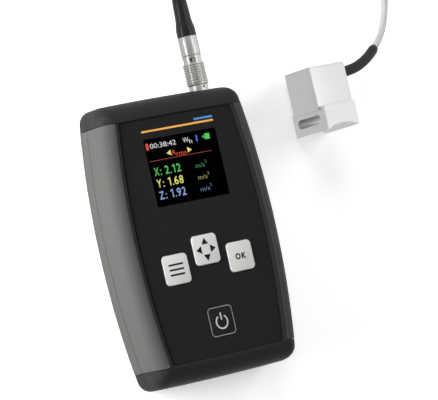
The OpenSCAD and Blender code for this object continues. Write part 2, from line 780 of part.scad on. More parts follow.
// The cable's route, from the collet nut to the coil and from the coil to the sensor
meter_route = [[26, 101.5, 13], [26, 105, 13], [26, 109, 13], [26.2, 114, 12.9], [26.6, 121, 12.3],
    [27.6, 127.5, 11.2], [28.9, 131.6, 9.7], [30.6, 135.4, 7.4], [32.4, 139, 4.9], [34, 142.7, 2.8],
    [35, 146.4, 1.9], [35, 150.2, 1.9]];
relief_points = 5;
relief_radii = [5.1, 5.15, 4.5, 4.15, 3.8, 3];
sensor_route = [[112, 69, 15], [118, 69, 15], [124, 69.6, 14.8], [130, 71, 14.3], [135.5, 73.2, 13.5],
    [141, 76, 12.2], [146.5, 79.5, 10.6], [152, 83.5, 8.6], [157, 88, 6.5], [161.5, 93.2, 4.5],
    [165, 99, 2.9], [167.8, 105.5, 2], [169.5, 113, 1.9], [170.2, 121, 1.9], [169.8, 129.2, 1.9],
    [168, 137.4, 1.9], [165, 145.4, 1.9], [160.8, 153, 1.9], [155.4, 159.8, 1.9], [148.8, 165.8, 1.9],
    [141.2, 170.8, 1.9], [133, 174.6, 1.9], [124.4, 177.2, 1.9], [115.6, 178.8, 2.1], [107, 179.6, 3.4],
    [98.6, 180, 5.7], [90.4, 180.1, 8.6], [82.4, 180, 11.6], [75.2, 180, 14], [68.8, 180, 15.1],
    [64.8, 180, 15.1]];
boot_points = 4;

// A tube swept along points. Each ring stands square to the route and keeps one corner straight down.
function unit(v) = v / norm(v);
function route_dir(r, i) =
    unit(r[min(i + 1, len(r) - 1)] - r[max(i - 1, 0)]);
function tube_ring(p, d, r, sides) =
    let (side = unit([d[1], -d[0], 0]), up = cross(side, d))
    [for (i = [0:sides - 1]) let (a = 360 * i / sides - 90) p + r * (cos(a) * side + sin(a) * up)];
module tube(points, dirs, radii, sides) {
    n = len(points);
    fans = [for (i = [1:sides - 2]) [0, i, i + 1]];
    last = (n - 1) * sides;
    rings = [for (i = [0:n - 1]) tube_ring(points[i], dirs[i], radii[i], sides)];
    polyhedron(flat(rings), [for (f = concat(ring_faces(n, sides), fans,
        [for (f = fans) [last + f[2], last + f[1], last + f[0]]])) [f[0], f[1], f[2]]]);
}
module route_tube(route, first, last, radii, sides, last_dir) {
    dirs = [for (i = [first:last]) i == len(route) - 1 ? last_dir : route_dir(route, i)];
    tube([for (i = [first:last]) route[i]], dirs, radii, sides);
}
function same(r, n) = [for (i = [1:n]) r];

// The coil: turns go in and out again at a steady rate, a layer for each way, and climb to the
// next layer in the half turn where they reverse. It starts at its left heading +Y and ends
// at its far side heading +X, a quarter turn on.
coil_centre = [61, 154];
coil_steps = 24;
layer_turns = coil_turns / coil_layers;
function coil_radius(u) =
    let (layer = floor(u / layer_turns), into = u - layer * layer_turns)
    coil_r - coil_pitch * (layer % 2 == 0 ? into : layer_turns - into);
function climb(u) = let (s = min(max(u * 2 + 0.5, 0), 1)) s * s * (3 - 2 * s);
function coil_height(u, j = 1) =
    j >= coil_layers ? cable_d / 2 : coil_pitch * climb(u - j * layer_turns) + coil_height(u, j + 1);
function coil_point(u) =
    let (a = 180 - 360 * u, r = coil_radius(u))
    [coil_centre[0] + r * cos(a), coil_centre[1] + r * sin(a), coil_height(u)];
coil_count = coil_turns * coil_steps;
coil_line = [for (i = [0:coil_count]) coil_point(i / coil_steps)];
coil_path = concat([coil_line[0] - [0, cable_d, 0]], coil_line, [coil_line[coil_count] + [cable_d, 0, 0]]);
function path_len(p) = sum([for (i = [1:len(p) - 1]) norm(p[i] - p[i - 1])]);
function sum(v, i = 0) = i >= len(v) ? 0 : v[i] + sum(v, i + 1);
coil_gap = min([for (i = [0:2:coil_count], j = [i + coil_steps / 2:2:coil_count])
    norm(coil_line[i] - coil_line[j])]) - cable_d;
echo(coil_gap = coil_gap, coil_len = path_len(coil_path), meter_lead_len = path_len(meter_route),
    sensor_lead_len = path_len(sensor_route));

module bend_relief() {
    color("#111112") route_tube(meter_route, 0, relief_points, relief_radii, 20, [0, 1, 0]);
}
module meter_lead() {
    last = len(meter_route) - 1;
    color("#b9babb") route_tube(meter_route, relief_points, last,
        same(cable_d / 2, last - relief_points + 1), 8, [0, 1, 0]);
}
module cable_coil() {
    n = len(coil_path);
    dirs = concat([[0, 1, 0], [0, 1, 0]], [for (i = [2:n - 3]) route_dir(coil_path, i)],
        [[1, 0, 0], [1, 0, 0]]);
    color("#b9babb") tube(coil_path, dirs, same(cable_d / 2, n), 6);
}
module sensor_lead() {
    last = len(sensor_route) - 1;
    color("#b9babb") route_tube(sensor_route, boot_points, last,
        same(cable_d / 2, last - boot_points + 1), 8, [-1, 0, 0]);
}
module sensor_boot() {
    color("#161617") route_tube(sensor_route, 0, boot_points, same(boot_r, boot_points + 1), 16, [0, 0, 0]);
}

// The sensor lies on its side. Its own frame has z from the adapter's feet to the cube's top,
// y out of the face with the cable, and x out of the face that shows.
exit_dir = unit(sensor_route[1] - sensor_route[0]);
sensor_turn = atan2(exit_dir[1], exit_dir[0]);
exit_z = seat_h + exit_h;
module sensor_at() {
    translate([sensor_route[0][0], sensor_route[0][1], adapter_w / 2]) rotate([0, 0, sensor_turn])
        rotate([-90, -90, 0]) translate([0, -cube_w / 2, -exit_z]) children();
}
base_t = 4;
base_w = cube_w - 2 * cube_wall;
module chamfered_cube(w, e) {
    across = w * sqrt(2) - 2 * e;
    intersection() {
        cube([w, w, w], center = true);
        rotate([0, 0, 45]) cube([across, across, w], center = true);
        rotate([45, 0, 0]) cube([w, across, across], center = true);
        rotate([0, 45, 0]) cube([across, w, across], center = true);
    }
}
module sensor_housing() {
    color("#dcdddd") sensor_at() difference() {
        translate([0, 0, seat_h + cube_w / 2]) chamfered_cube(cube_w, cube_edge);
        translate([-base_w / 2, -base_w / 2, seat_h - cut]) cube([base_w, base_w, cube_w - cube_wall + cut]);
        translate([0, cube_w / 2, exit_z]) rotate([90, 0, 0]) post(cable_d / 2, -cut, cube_wall + cut);
    }
}
module sensor_base() {
    w = base_w - 2 * fit_gap;
    color("#cfd0d0") sensor_at() difference() {
        translate([-w / 2, -w / 2, seat_h]) cube([w, w, base_t]);
        post(thread_r, seat_h - cut, seat_h + base_t + cut);
    }
}
block_w = 9;
block_gap = 0.1;
block_z = seat_h + base_t + (cube_w - cube_wall - base_t) / 2;
module seismic_block() {
    h = cube_w - cube_wall - base_t - 2 * block_gap;
    color("#a9abad") sensor_at() translate([0, 0, block_z]) cube([block_w, block_w, h], center = true);
}
element_w = 6.5;
element_t = 2.4;
module element(axis) {
    out = block_w / 2 + element_t / 2 + fit_gap;
    place = axis == 0 ? [out, 0, 0] : axis == 1 ? [0, -out, 0] : [-out, 0, 0];
    size = axis == 1 ? [element_w, element_t, element_w] : [element_t, element_w, element_w];
    sensor_at() translate([0, 0, block_z]) translate(place) cube(size, center = true);
}
module sensing_element_x() { color("#8c6f3c") element(0); }
module sensing_element_y() { color("#8c6f3c") element(1); }
module sensing_element_z() { color("#8c6f3c") element(2); }

// Adapter: a block with two shoulders, a saddle under it, a strap slot through it and a screw from below
adapter_r = 0.8;
cap_r = 3.75;
cap_h = 2.2;
cap_gap = 0.25;
hex_r = 1.25;
hex_h = 1.3;
slot_top = slot_z + slot_h / 2;
module handle_adapter() {
    color("#d4d5d5") sensor_at() difference() {
        plate(adapter_w, adapter_d, adapter_r, 0, seat_h + shoulder_h);
        translate([-cube_w / 2 - fit_gap, -adapter_d / 2 - cut, seat_h])
            cube([cube_w + 2 * fit_gap, adapter_d + 2 * cut, shoulder_h + cut]);
        translate([0, 0, saddle_rise - saddle_r]) rotate([0, 90, 0])
            cylinder(r = saddle_r, h = adapter_w + cut, center = true, $fn = 96);
        translate([0, 0, slot_z]) rotate([90, 0, 0]) linear_extrude(adapter_d + cut, center = true) {
            square([slot_len - slot_h, slot_h], center = true);
            for (x = [-1, 1]) translate([x * (slot_len - slot_h) / 2, 0]) circle(d = slot_h, $fn = 32);
        }
        post(cap_r + cap_gap, -cut, slot_z);
        post(thread_r + cap_gap, slot_z, seat_h + cut);
        translate([0, 0, slot_top]) cylinder(r1 = cap_r, r2 = thread_r, h = cap_h, $fn = 32);
    }
}
module adapter_screw() {
    color("#8e9092") sensor_at() difference() {
        union() {
            translate([0, 0, slot_top])
                cylinder(r1 = cap_r - fit_gap, r2 = thread_r - fit_gap, h = cap_h - fit_gap, $fn = 32);
            post(thread_r - fit_gap, slot_top + cap_h / 2, seat_h + base_t - fit_gap);
        }
        translate([0, 0, slot_top - cut]) cylinder(r = hex_r, h = cut + hex_h, $fn = 6);
    }
}

front_shell();
back_shell();
front_grip_left();
front_grip_right();
back_grip_left();
back_grip_right();
case_seal();
case_screws();
front_panel();
display_window();
display_frame();
display_module();
main_board();
board_screws();
keypad_mat();
key_contacts();
menu_key();
nav_key();
ok_key();
power_key();
battery_pack();
battery_pad();
input_board();
board_header();
socket_body();
socket_nut();
socket_insert();
socket_pins();
socket_leads();
plug_body();
plug_insert();
plug_pins();
latch_sleeve();
collet();
collet_nut();
bend_relief();
meter_lead();
cable_coil();
sensor_lead();
sensor_boot();
sensor_housing();
sensor_base();
seismic_block();
sensing_element_x();
sensing_element_y();
sensing_element_z();
handle_adapter();
adapter_screw();
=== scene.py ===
"""A handheld vibration meter, its plug-in cable and its hand-arm sensor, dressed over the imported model."""

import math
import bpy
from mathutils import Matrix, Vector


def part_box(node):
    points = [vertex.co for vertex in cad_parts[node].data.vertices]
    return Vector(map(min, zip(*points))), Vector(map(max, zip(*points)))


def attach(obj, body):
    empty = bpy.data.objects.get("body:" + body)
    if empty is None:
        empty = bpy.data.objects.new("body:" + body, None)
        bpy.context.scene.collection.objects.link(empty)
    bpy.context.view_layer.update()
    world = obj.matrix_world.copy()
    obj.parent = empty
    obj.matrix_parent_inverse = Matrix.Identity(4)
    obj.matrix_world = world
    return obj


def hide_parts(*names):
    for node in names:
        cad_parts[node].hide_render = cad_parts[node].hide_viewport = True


bl_info = {
    "name": "Vibration Meter",
    "version": (1, 0, 0),
    "blender": (4, 5, 0),
    "location": "View3D > Sidebar > Meter",
    "description": "Dresses a handheld vibration meter with its cable and hand-arm sensor",
    "category": "Object",
}

import bpy
import numpy as np
from bpy.props import FloatProperty, FloatVectorProperty, IntProperty, PointerProperty
from mathutils import Matrix
from mathutils.geometry import delaunay_2d_cdt

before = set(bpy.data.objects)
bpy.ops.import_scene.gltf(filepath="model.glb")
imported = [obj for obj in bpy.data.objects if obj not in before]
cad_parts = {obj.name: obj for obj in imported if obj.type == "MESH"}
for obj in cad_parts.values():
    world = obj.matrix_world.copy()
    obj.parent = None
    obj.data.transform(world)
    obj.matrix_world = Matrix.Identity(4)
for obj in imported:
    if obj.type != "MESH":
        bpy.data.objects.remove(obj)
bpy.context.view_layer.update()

MM = 0.001
ROOT = "meter"


def edges_of(node):
    """Lowest and highest corner of a CAD node, in millimetres."""
    low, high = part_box(node)
    return np.array(low) / MM, np.array(high) / MM


# Settings


def length(name, description, millimetres):
    """A length that the user sets, kept in metres as Blender shows it."""
    return FloatProperty(
        name=name,
        description=description,
        default=millimetres * MM,
        min=0.0,
        unit="LENGTH",
        precision=5,
    )


def power(name, description, watts):
    """A lamp's power that the user sets."""
    return FloatProperty(name=name, description=description, default=watts, min=0.0, unit="POWER")


def srgb(code):
    """A hex colour written as it looks, turned to linear light for the shaders."""
    parts = np.array([int(code[i : i + 2], 16) for i in (1, 3, 5)]) / 255.0
    linear = np.where(parts <= 0.04045, parts / 12.92, ((parts + 0.055) / 1.055) ** 2.4)
    return (*linear.tolist(), 1.0)


def colour(name, description, code):
    """A colour that the user sets, given as it looks and kept in linear light."""
    return FloatVectorProperty(
        name=name,
        description=description,
        default=srgb(code),
        size=4,
        min=0.0,
        max=1.0,
        subtype="COLOR",
    )


class HousingSettings(bpy.types.PropertyGroup):
    """Sizes and colours of the two shells and the side grips."""

    body_length: length("Length", "End to end length of the housing", 148.0)
    body_width: length("Width", "Width of the housing at its waist", 99.2)
    body_height: length("Height", "Height from the back to the rim of the front", 25.6)
    side_radius: length("Side curve", "Radius of the barrel curve along each side", 435.0)
    end_radius: length("End bow", "Radius of the slight bow across each end", 1500.0)
    corner_radius: length("Corner", "Radius of the four corners seen from the front", 7.0)
    back_radius: length("Back edge", "Radius of the edge round the back", 4.3)
    side_round: length("Side round", "Width and height of the round from the side to the front", 8.2)
    end_round_width: length("End round width", "Width of the slope from the end to the front", 10.0)
    end_round_height: length("End round height", "Height of the slope from the end to the front", 12.0)
    seam_height: length("Seam", "Height of the parting seam above the back", 10.0)
    seam_groove: length("Seam groove", "Half height and depth of the groove at the seam", 0.3)
    grip_length: length("Grip length", "Length of the side grips", 127.0)
    grip_depth: length("Grip depth", "Depth of the pockets that hold the grips", 1.3)
    grip_proud: length("Grip proud", "How far the grips stand out of the shells", 0.1)
    lip_round: length("Lip round", "Radius of the rounded edge of a grip", 0.35)
    frame_width: length("Frame", "Width of the slope beside the panel", 2.2)
    rib_width: length("Rib", "Width of the rib between the slope and the grip", 0.4)
    recess_depth: length("Recess", "Depth of the recess below the rim", 1.4)
    shell_colour: colour("Shell", "Colour of the moulded shells", "#1b1b1c")
    grip_colour: colour("Grip", "Colour of the rubber grips", "#373736")


class FrontSettings(bpy.types.PropertyGroup):
    """Sizes and colours of the panel, the display and the keys."""

    key_edge: length("Key edge", "Radius of the edge round a key's top", 0.45)
    key_corner: length("Key corner", "Corner radius of a key seen from the front", 2.4)
    print_height: length("Print", "Thickness of the printed marks", 0.012)
    panel_colour: colour("Panel", "Colour of the panel film", "#141415")
    key_colour: colour("Key", "Colour of the light keys", "#bdbdbb")
    mark_colour: colour("Key print", "Colour of the marks on the light keys", "#0d0d0e")
    light_mark_colour: colour("Light print", "Colour of the symbol on the dark key", "#b4b5b6")
    frame_mark_colour: colour("Frame print", "Colour of the line round the dark key", "#858687")
    stripe_colour: colour("Stripe", "Colour of the long line above the display", "#d89a45")
    accent_colour: colour("Accent", "Colour of the short line above the display", "#3f7fc4")
    glow: FloatProperty(
        name="Glow", description="Strength of the lit display", default=0.95, min=0.0, max=3.0
    )


class PlugSettings(bpy.types.PropertyGroup):
    """Sizes and colours of the socket, the plug and its bend relief."""

    teeth: IntProperty(name="Teeth", description="Knurl teeth round the sleeve", default=18, min=8)
    rows: IntProperty(name="Rows", description="Knurl rows along the sleeve", default=7, min=2)
    tooth_depth: length("Tooth depth", "Depth of the knurl's grooves", 0.45)
    slots: IntProperty(name="Slots", description="Slots round the collar", default=4, min=1)
    slot_depth: length("Slot depth", "Depth of the slots in the collar", 1.6)
    nickel_colour: colour("Nickel", "Colour of the plated metal", "#d2d1cf")
    relief_colour: colour("Relief", "Colour of the bend relief", "#070708")


class CableSettings(bpy.types.PropertyGroup):
    """Size and colour of the cable and the boot at the sensor."""

    diameter: length("Diameter", "Diameter of the cable", 3.8)
    coil_radius: length("Coil", "Radius of the coil's outer turn", 26.0)
    coil_pitch: length("Pitch", "Step between turns and between layers", 4.4)
    coil_turns: FloatProperty(name="Turns", description="Turns in the coil", default=9.25, min=1.0)
    coil_layers: IntProperty(name="Layers", description="Layers in the coil", default=4, min=1)
    cable_colour: colour("Cable", "Colour of the jacket", "#a6a7a8")
    boot_colour: colour("Boot", "Colour of the shrunk sleeve", "#131314")


class SensorSettings(bpy.types.PropertyGroup):
    """Sizes and colours of the sensor and its handle adapter."""

    edge: length("Edge", "Radius of the cube's edges", 0.5)
    lid_line: length("Lid line", "Depth of the line between the cube and its lid", 0.12)
    steel_colour: colour("Steel", "Colour of the ground steel", "#e2e2e1")
    mark_colour: colour("Marks", "Colour of the marked axes", "#2a2a2b")


class StageSettings(bpy.types.PropertyGroup):
    """The view, the lamps and the floor."""

    view_distance: length("Distance", "Distance from the camera to the meter", 1483.232)
    lens: FloatProperty(name="Lens", description="Focal length", default=234.11, subtype="DISTANCE_CAMERA")
    key_light: power("Key lamp", "Power of the side lamp", 11.0)
    top_light: power("Top lamp", "Power of the top lamp", 4.0)
    fill_light: power("Fill lamp", "Power of the fill lamp", 6.0)
    strip_light: power("Strips", "Power of the strips that only glossy surfaces show", 0.45)
    ambient: FloatProperty(name="Ambient", description="Strength of the room's light", default=0.2)
    reflected: FloatProperty(name="Reflected", description="Strength of the room in reflections", default=1.0)
    floor_reflected: FloatProperty(
        name="Floor reflected", description="Strength of the floor in reflections", default=0.7
    )
    floor_glow: FloatProperty(name="Floor", description="How far the seen floor is lifted", default=0.45)


# Meshes


def grid_faces(rows, columns, close_rows=False):
    """Quads between neighbouring points of a grid whose rows are rings, the last row joined to the
    first where asked."""
    r = np.arange(rows if close_rows else rows - 1)
    r, c = np.meshgrid(r, np.arange(columns), indexing="ij")
    r1, c1 = (r + 1) % rows, (c + 1) % columns
    quads = (r * columns + c, r * columns + c1, r1 * columns + c1, r1 * columns + c)
    return np.stack(quads, axis=-1).reshape(-1, 4)


def lids(rows, columns):
    """Faces that close the first and the last row of a grid."""
    return [list(range(columns))[::-1], list(range((rows - 1) * columns, rows * columns))]


def circle(steps):
    """A circle of radius 1, anticlockwise."""
    a = np.linspace(0.0, 2 * np.pi, steps, endpoint=False)
    return np.c_[np.cos(a), np.sin(a)]


def level(outline, z):
    """A flat outline laid at one height."""
    return np.c_[outline, np.full(len(outline), z)]


class Shape:
    """Points and faces, in millimetres, gathered into one mesh."""

    def __init__(self):
        self.points, self.faces, self.count = [], [], 0

    def add(self, points, faces):
        points = np.asarray(points, float).reshape(-1, 3)
        self.points.append(points)
        self.faces += [tuple(int(i) + self.count for i in face) for face in faces]
        self.count += len(points)
        return self

    def moved(self, turn, place):
        """Turned by a 3 x 3 matrix, then moved."""
        self.points = [p @ np.asarray(turn, float).T + np.asarray(place, float) for p in self.points]
        return self

    def piece(self, name, body, slot, material, replaces=(), sharp=35.0):
        """Makes the object: smooth but for edges over the sharp angle, riding on its body."""
        mesh = bpy.data.meshes.new(name)
        mesh.from_pydata((np.vstack(self.points) * MM).tolist(), [], self.faces)
        mesh.validate()
        mesh.materials.append(material)
        mesh.shade_smooth()
        mesh.set_sharp_from_angle(angle=math.radians(sharp))
        made = bpy.data.objects.new(name, mesh)
        bpy.context.scene.collection.objects.link(made)
        if body is None:
            return made
        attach(made, body)
        if replaces:
            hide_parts(*replaces)
        return made


def rounded_square(width, height, radius, steps=8):
    """Corners as quarter circles of one radius, joined by straight sides, anticlockwise."""
    a = np.linspace(0.0, np.pi / 2, steps + 1)
    centres = [(1, 1, 0), (-1, 1, 1), (-1, -1, 2), (1, -1, 3)]
    parts = []
    for sx, sy, quarter in centres:
        t = a + quarter * np.pi / 2
        x = sx * (width / 2 - radius) + radius * np.cos(t)
        y = sy * (height / 2 - radius) + radius * np.sin(t)
        parts.append(np.c_[x, y])
    return np.vstack(parts)


def pad(shape, width, height, radius, low, high, edge, centre=(0.0, 0.0), steps=6):
    """A plate whose outline is a rounded square and whose top edge is a quarter circle:
    at angle t the outline is drawn in by edge * (1 - cos t) and raised by edge * sin t."""
    t = np.linspace(0.0, np.pi / 2, steps + 1)
    insets = np.r_[0.0, edge * (1 - np.cos(t))]
    heights = np.r_[low, high - edge + edge * np.sin(t)]
    rings = []
    for inset, z in zip(insets, heights):
        ring = rounded_square(width - 2 * inset, height - 2 * inset, max(radius - inset, 0.05))
        rings.append(level(ring + np.asarray(centre), z))
    n = len(rings[0])
    return shape.add(np.vstack(rings), grid_faces(len(rings), n).tolist() + lids(len(rings), n))


def prism(shape, outline, low, high):
    """A flat outline, anticlockwise, raised from low to high."""
    outline = np.asarray(outline, float)
    n = len(outline)
    points = np.vstack([level(outline, low), level(outline, high)])
    return shape.add(points, grid_faces(2, n).tolist() + lids(2, n))


def band(shape, outer, inner, low, high):
    """A flat ring between two outlines of equal count, raised from low to high."""
    rings = [level(*ring) for ring in ((outer, low), (outer, high), (inner, high), (inner, low))]
    return shape.add(np.vstack(rings), grid_faces(4, len(outer), close_rows=True).tolist())


def spun(shape, radii, along, steps=72):
    """A closed profile carried round the Y axis. Each place along it has one radius, or one a step:
    a point is (radius * cos a, along, radius * sin a)."""
    x, z = circle(steps).T
    y = np.repeat(np.reshape(along, (-1, 1)), steps, axis=1)
    points = np.stack([radii * x, y, radii * z], axis=-1).reshape(-1, 3)
    return shape.add(points, grid_faces(len(y), steps, close_rows=True)[:, ::-1].tolist())


def turned(shape, profile):
    """A closed profile of (radius, along) points carried round the Y axis."""
    profile = np.asarray(profile, float)
    return spun(shape, profile[:, :1], profile[:, 1])


def smooth_path(points, per_step=6):
    """A Catmull-Rom curve through the points: each stretch blends its four nearest points by cubics."""
    p = np.asarray(points, float)
    p = np.vstack([2 * p[0] - p[1], p, 2 * p[-1] - p[-2]])
    t = np.linspace(0.0, 1.0, per_step, endpoint=False)[None, :, None]
    a, b, c, d = (p[i : len(p) - 3 + i][:, None, :] for i in range(4))
    curve = b + 0.5 * t * (c - a + t * (2 * a - 5 * b + 4 * c - d + t * (3 * (b - c) + d - a)))
    return np.vstack([curve.reshape(-1, 3), p[-2]])


def tube(shape, path, radii, sides):
    """A circle carried along a path, square to it, with its ends closed by a point each.
    Its points are path + radius * (cos a * side + sin a * up), where side is level."""
    path = np.asarray(path, float)
    radii = np.broadcast_to(np.asarray(radii, float), (len(path),))
    along = np.gradient(path, axis=0)
    along /= np.linalg.norm(along, axis=1, keepdims=True)
    side = np.c_[along[:, 1], -along[:, 0], np.zeros(len(path))]
    side /= np.linalg.norm(side, axis=1, keepdims=True)
    up = np.cross(side, along)
    across, over = circle(sides).T
    ring = across[None, :, None] * side[:, None] + over[None, :, None] * up[:, None]
    rings = path[:, None] + radii[:, None, None] * ring
    n, m = len(path), sides
    points = np.vstack([rings.reshape(-1, 3), path[0], path[-1]])
    i = np.arange(m)
    j = (i + 1) % m
    first = np.stack([np.full(m, n * m), j, i], axis=1)
    last = np.stack([np.full(m, n * m + 1), (n - 1) * m + i, (n - 1) * m + j], axis=1)
    return shape.add(points, grid_faces(n, m).tolist() + first.tolist() + last.tolist())


def letters(shape, text, left, base, width, height, low, high, weight=0.0):
    """Lettering fitted to a box: the built-in face is filled, scaled to the width and height and raised."""
    curve = bpy.data.curves.new("letters", "FONT")
    curve.body = text
    curve.extrude = 1.0
    curve.offset = weight
    curve.resolution_u = 4
    holder = bpy.data.objects.new("letters", curve)
    bpy.context.scene.collection.objects.link(holder)
    bpy.context.view_layer.update()
    solid = bpy.data.meshes.new_from_object(holder.evaluated_get(bpy.context.evaluated_depsgraph_get()))
    points = np.empty(len(solid.vertices) * 3)
    solid.vertices.foreach_get("co", points)
    points = points.reshape(-1, 3)
    faces = [tuple(f.vertices) for f in solid.polygons]
    bpy.data.objects.remove(holder)
    bpy.data.curves.remove(curve)
    bpy.data.meshes.remove(solid)
    start, span = points.min(0), np.ptp(points, axis=0)
    scale = np.array([width, height, high - low]) / span
    return shape.add((points - start) * scale + (left, base, low), faces)


# Materials


def add(tree, kind, sockets=None, **settings):
    """Adds a node with its settings. A socket's entry is a value, or another node's output to link."""
    made = tree.nodes.new(kind)
    for key, value in settings.items():
        setattr(made, key, value)
    for key, value in (sockets or {}).items():
        if isinstance(value, bpy.types.NodeSocket):
            tree.links.new(value, made.inputs[key])
        else:
            made.inputs[key].default_value = value
    return made


def per_metre(millimetres):
    """Texture scale that gives features of this size on Object coordinates."""
    return 1000.0 / millimetres


def blank(data, name):
    """A new material or world without nodes, and its node tree."""
    made = data.new(name)
    made.use_nodes = True
    made.node_tree.nodes.clear()
    return made, made.node_tree


def shaded(
    name, code, roughness, grain=0.6, relief=0.03, tint=0.06, patches=14.0, metallic=0.0, specular=0.5, **more
):
    """A surface with fine relief of one grain size, slight patches of colour and uneven gloss. Grain,
    relief and patches are in millimetres; code is the colour, or a linear value from the settings."""
    base = srgb(code) if isinstance(code, str) else tuple(code)
    made, tree = blank(bpy.data.materials, name)
    coords = add(tree, "ShaderNodeTexCoord").outputs["Object"]
    fine = add(tree, "ShaderNodeTexNoise", {"Vector": coords, "Scale": per_metre(grain), "Detail": 3.0})
    broad = add(tree, "ShaderNodeTexNoise", {"Vector": coords, "Scale": per_metre(patches), "Detail": 4.0})
    dark = tuple(c * (1 - tint) for c in base[:3]) + (1.0,)
    light = tuple(min(c * (1 + tint), 1.0) for c in base[:3]) + (1.0,)
    mix = add(tree, "ShaderNodeMix", {0: broad.outputs["Fac"], 6: dark, 7: light}, data_type="RGBA")
    gloss = add(
        tree,
        "ShaderNodeMapRange",
        {0: broad.outputs["Fac"], 3: max(roughness - 0.05, 0.02), 4: min(roughness + 0.05, 1.0)},
    )
    bump = add(tree, "ShaderNodeBump", {"Height": fine.outputs["Fac"], "Distance": relief * MM})
    shader = add(
        tree,
        "ShaderNodeBsdfPrincipled",
        {
            "Base Color": mix.outputs[2],
            "Roughness": gloss.outputs[0],
            "Normal": bump.outputs["Normal"],
            "Metallic": metallic,
            "Specular IOR Level": specular,
            **more,
        },
    )
    add(tree, "ShaderNodeOutputMaterial", {"Surface": shader.outputs["BSDF"]})
    return made


def with_painted_shade(made, centre, across, bottom, top, code):
    """Paints shade onto what lies low on a piece, as in a groove or at a foot. across keeps
    the directions that count, such as (1, 0, 1) for a round piece along Y or (0, 0, 1) for heights,
    and the colour goes from code at the bottom's distance from the centre to unshaded at the top's."""
    tree = made.node_tree
    shader = next(node for node in tree.nodes if node.bl_idname == "ShaderNodeBsdfPrincipled")
    unshaded = shader.inputs["Base Color"].links[0].from_socket
    coords = add(tree, "ShaderNodeTexCoord").outputs["Object"]
    offset = add(tree, "ShaderNodeVectorMath", {0: coords, 1: centre}, operation="SUBTRACT")
    flat = add(tree, "ShaderNodeVectorMath", {0: offset.outputs[0], 1: across}, operation="MULTIPLY")
    away = add(tree, "ShaderNodeVectorMath", {0: flat.outputs[0]}, operation="LENGTH")
    share = add(tree, "ShaderNodeMapRange", {0: away.outputs["Value"], 1: bottom, 2: top})
    mix = add(tree, "ShaderNodeMix", {0: share.outputs[0], 6: srgb(code), 7: unshaded}, data_type="RGBA")
    tree.links.new(mix.outputs[2], shader.inputs["Base Color"])
    return made


def film_of(name, code):
    """Back-printed polyester film with a velvet texture: very dark, its gloss soft and wide."""
    return shaded(name, code, 0.36, grain=0.6, relief=0.01, tint=0.08, specular=0.09)


def lit(name, code, strength):
    """Lit display segments: light of one colour, dimmed a little by the rows of the pixels.
    The real rows are 0.15 mm apart, drawn 0.6 mm apart so that they show at all."""
    made, tree = blank(bpy.data.materials, name)
    coords = add(tree, "ShaderNodeTexCoord").outputs["Object"]
    rows = add(
        tree,
        "ShaderNodeTexWave",
        {"Vector": coords, "Scale": per_metre(0.6) / 20.0, "Distortion": 0.0},
        bands_direction="Y",
    )
    full = srgb(code)
    dim = tuple(0.86 * c for c in full[:3]) + (1.0,)
    mix = add(tree, "ShaderNodeMix", {0: rows.outputs["Fac"], 6: dim, 7: full}, data_type="RGBA")
    shader = add(
        tree,
        "ShaderNodeBsdfPrincipled",
        {
            "Base Color": (0.0, 0.0, 0.0, 1.0),
            "Emission Color": mix.outputs[2],
            "Emission Strength": strength,
            "Roughness": 0.6,
        },
    )
    add(tree, "ShaderNodeOutputMaterial", {"Surface": shader.outputs["BSDF"]})
    return made


def dress(node, material):
    """Gives a CAD node its material."""
    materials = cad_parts[node].data.materials
    materials.clear()
    materials.append(material)


def seen_by_camera(tree):
    """The light path, and a value that is 1 where the camera looks straight or through glass."""
    path = add(tree, "ShaderNodeLightPath")
    rays = {0: path.outputs["Is Camera Ray"], 1: path.outputs["Is Transmission Ray"]}
    return path, add(tree, "ShaderNodeMath", rays).outputs[0]


# Housing


def corner_centre(hw, hl, rc, side_r, end_r):
    """Centre of the corner arc that touches both the side's arc and the end's arc from inside:
    where circles of radius side_r - rc and end_r - rc about their centres cross."""
    cs, ce = np.array([hw - side_r, 0.0]), np.array([0.0, hl - end_r])
    a, b, d = side_r - rc, end_r - rc, np.linalg.norm(ce - cs)
    e = (ce - cs) / d
    m = (a * a - b * b + d * d) / (2 * d)
    return cs + m * e + math.sqrt(a * a - m * m) * np.array([-e[1], e[0]])


BODY_Y = (edges_of("back_shell")[0][1] + edges_of("back_shell")[1][1]) / 2


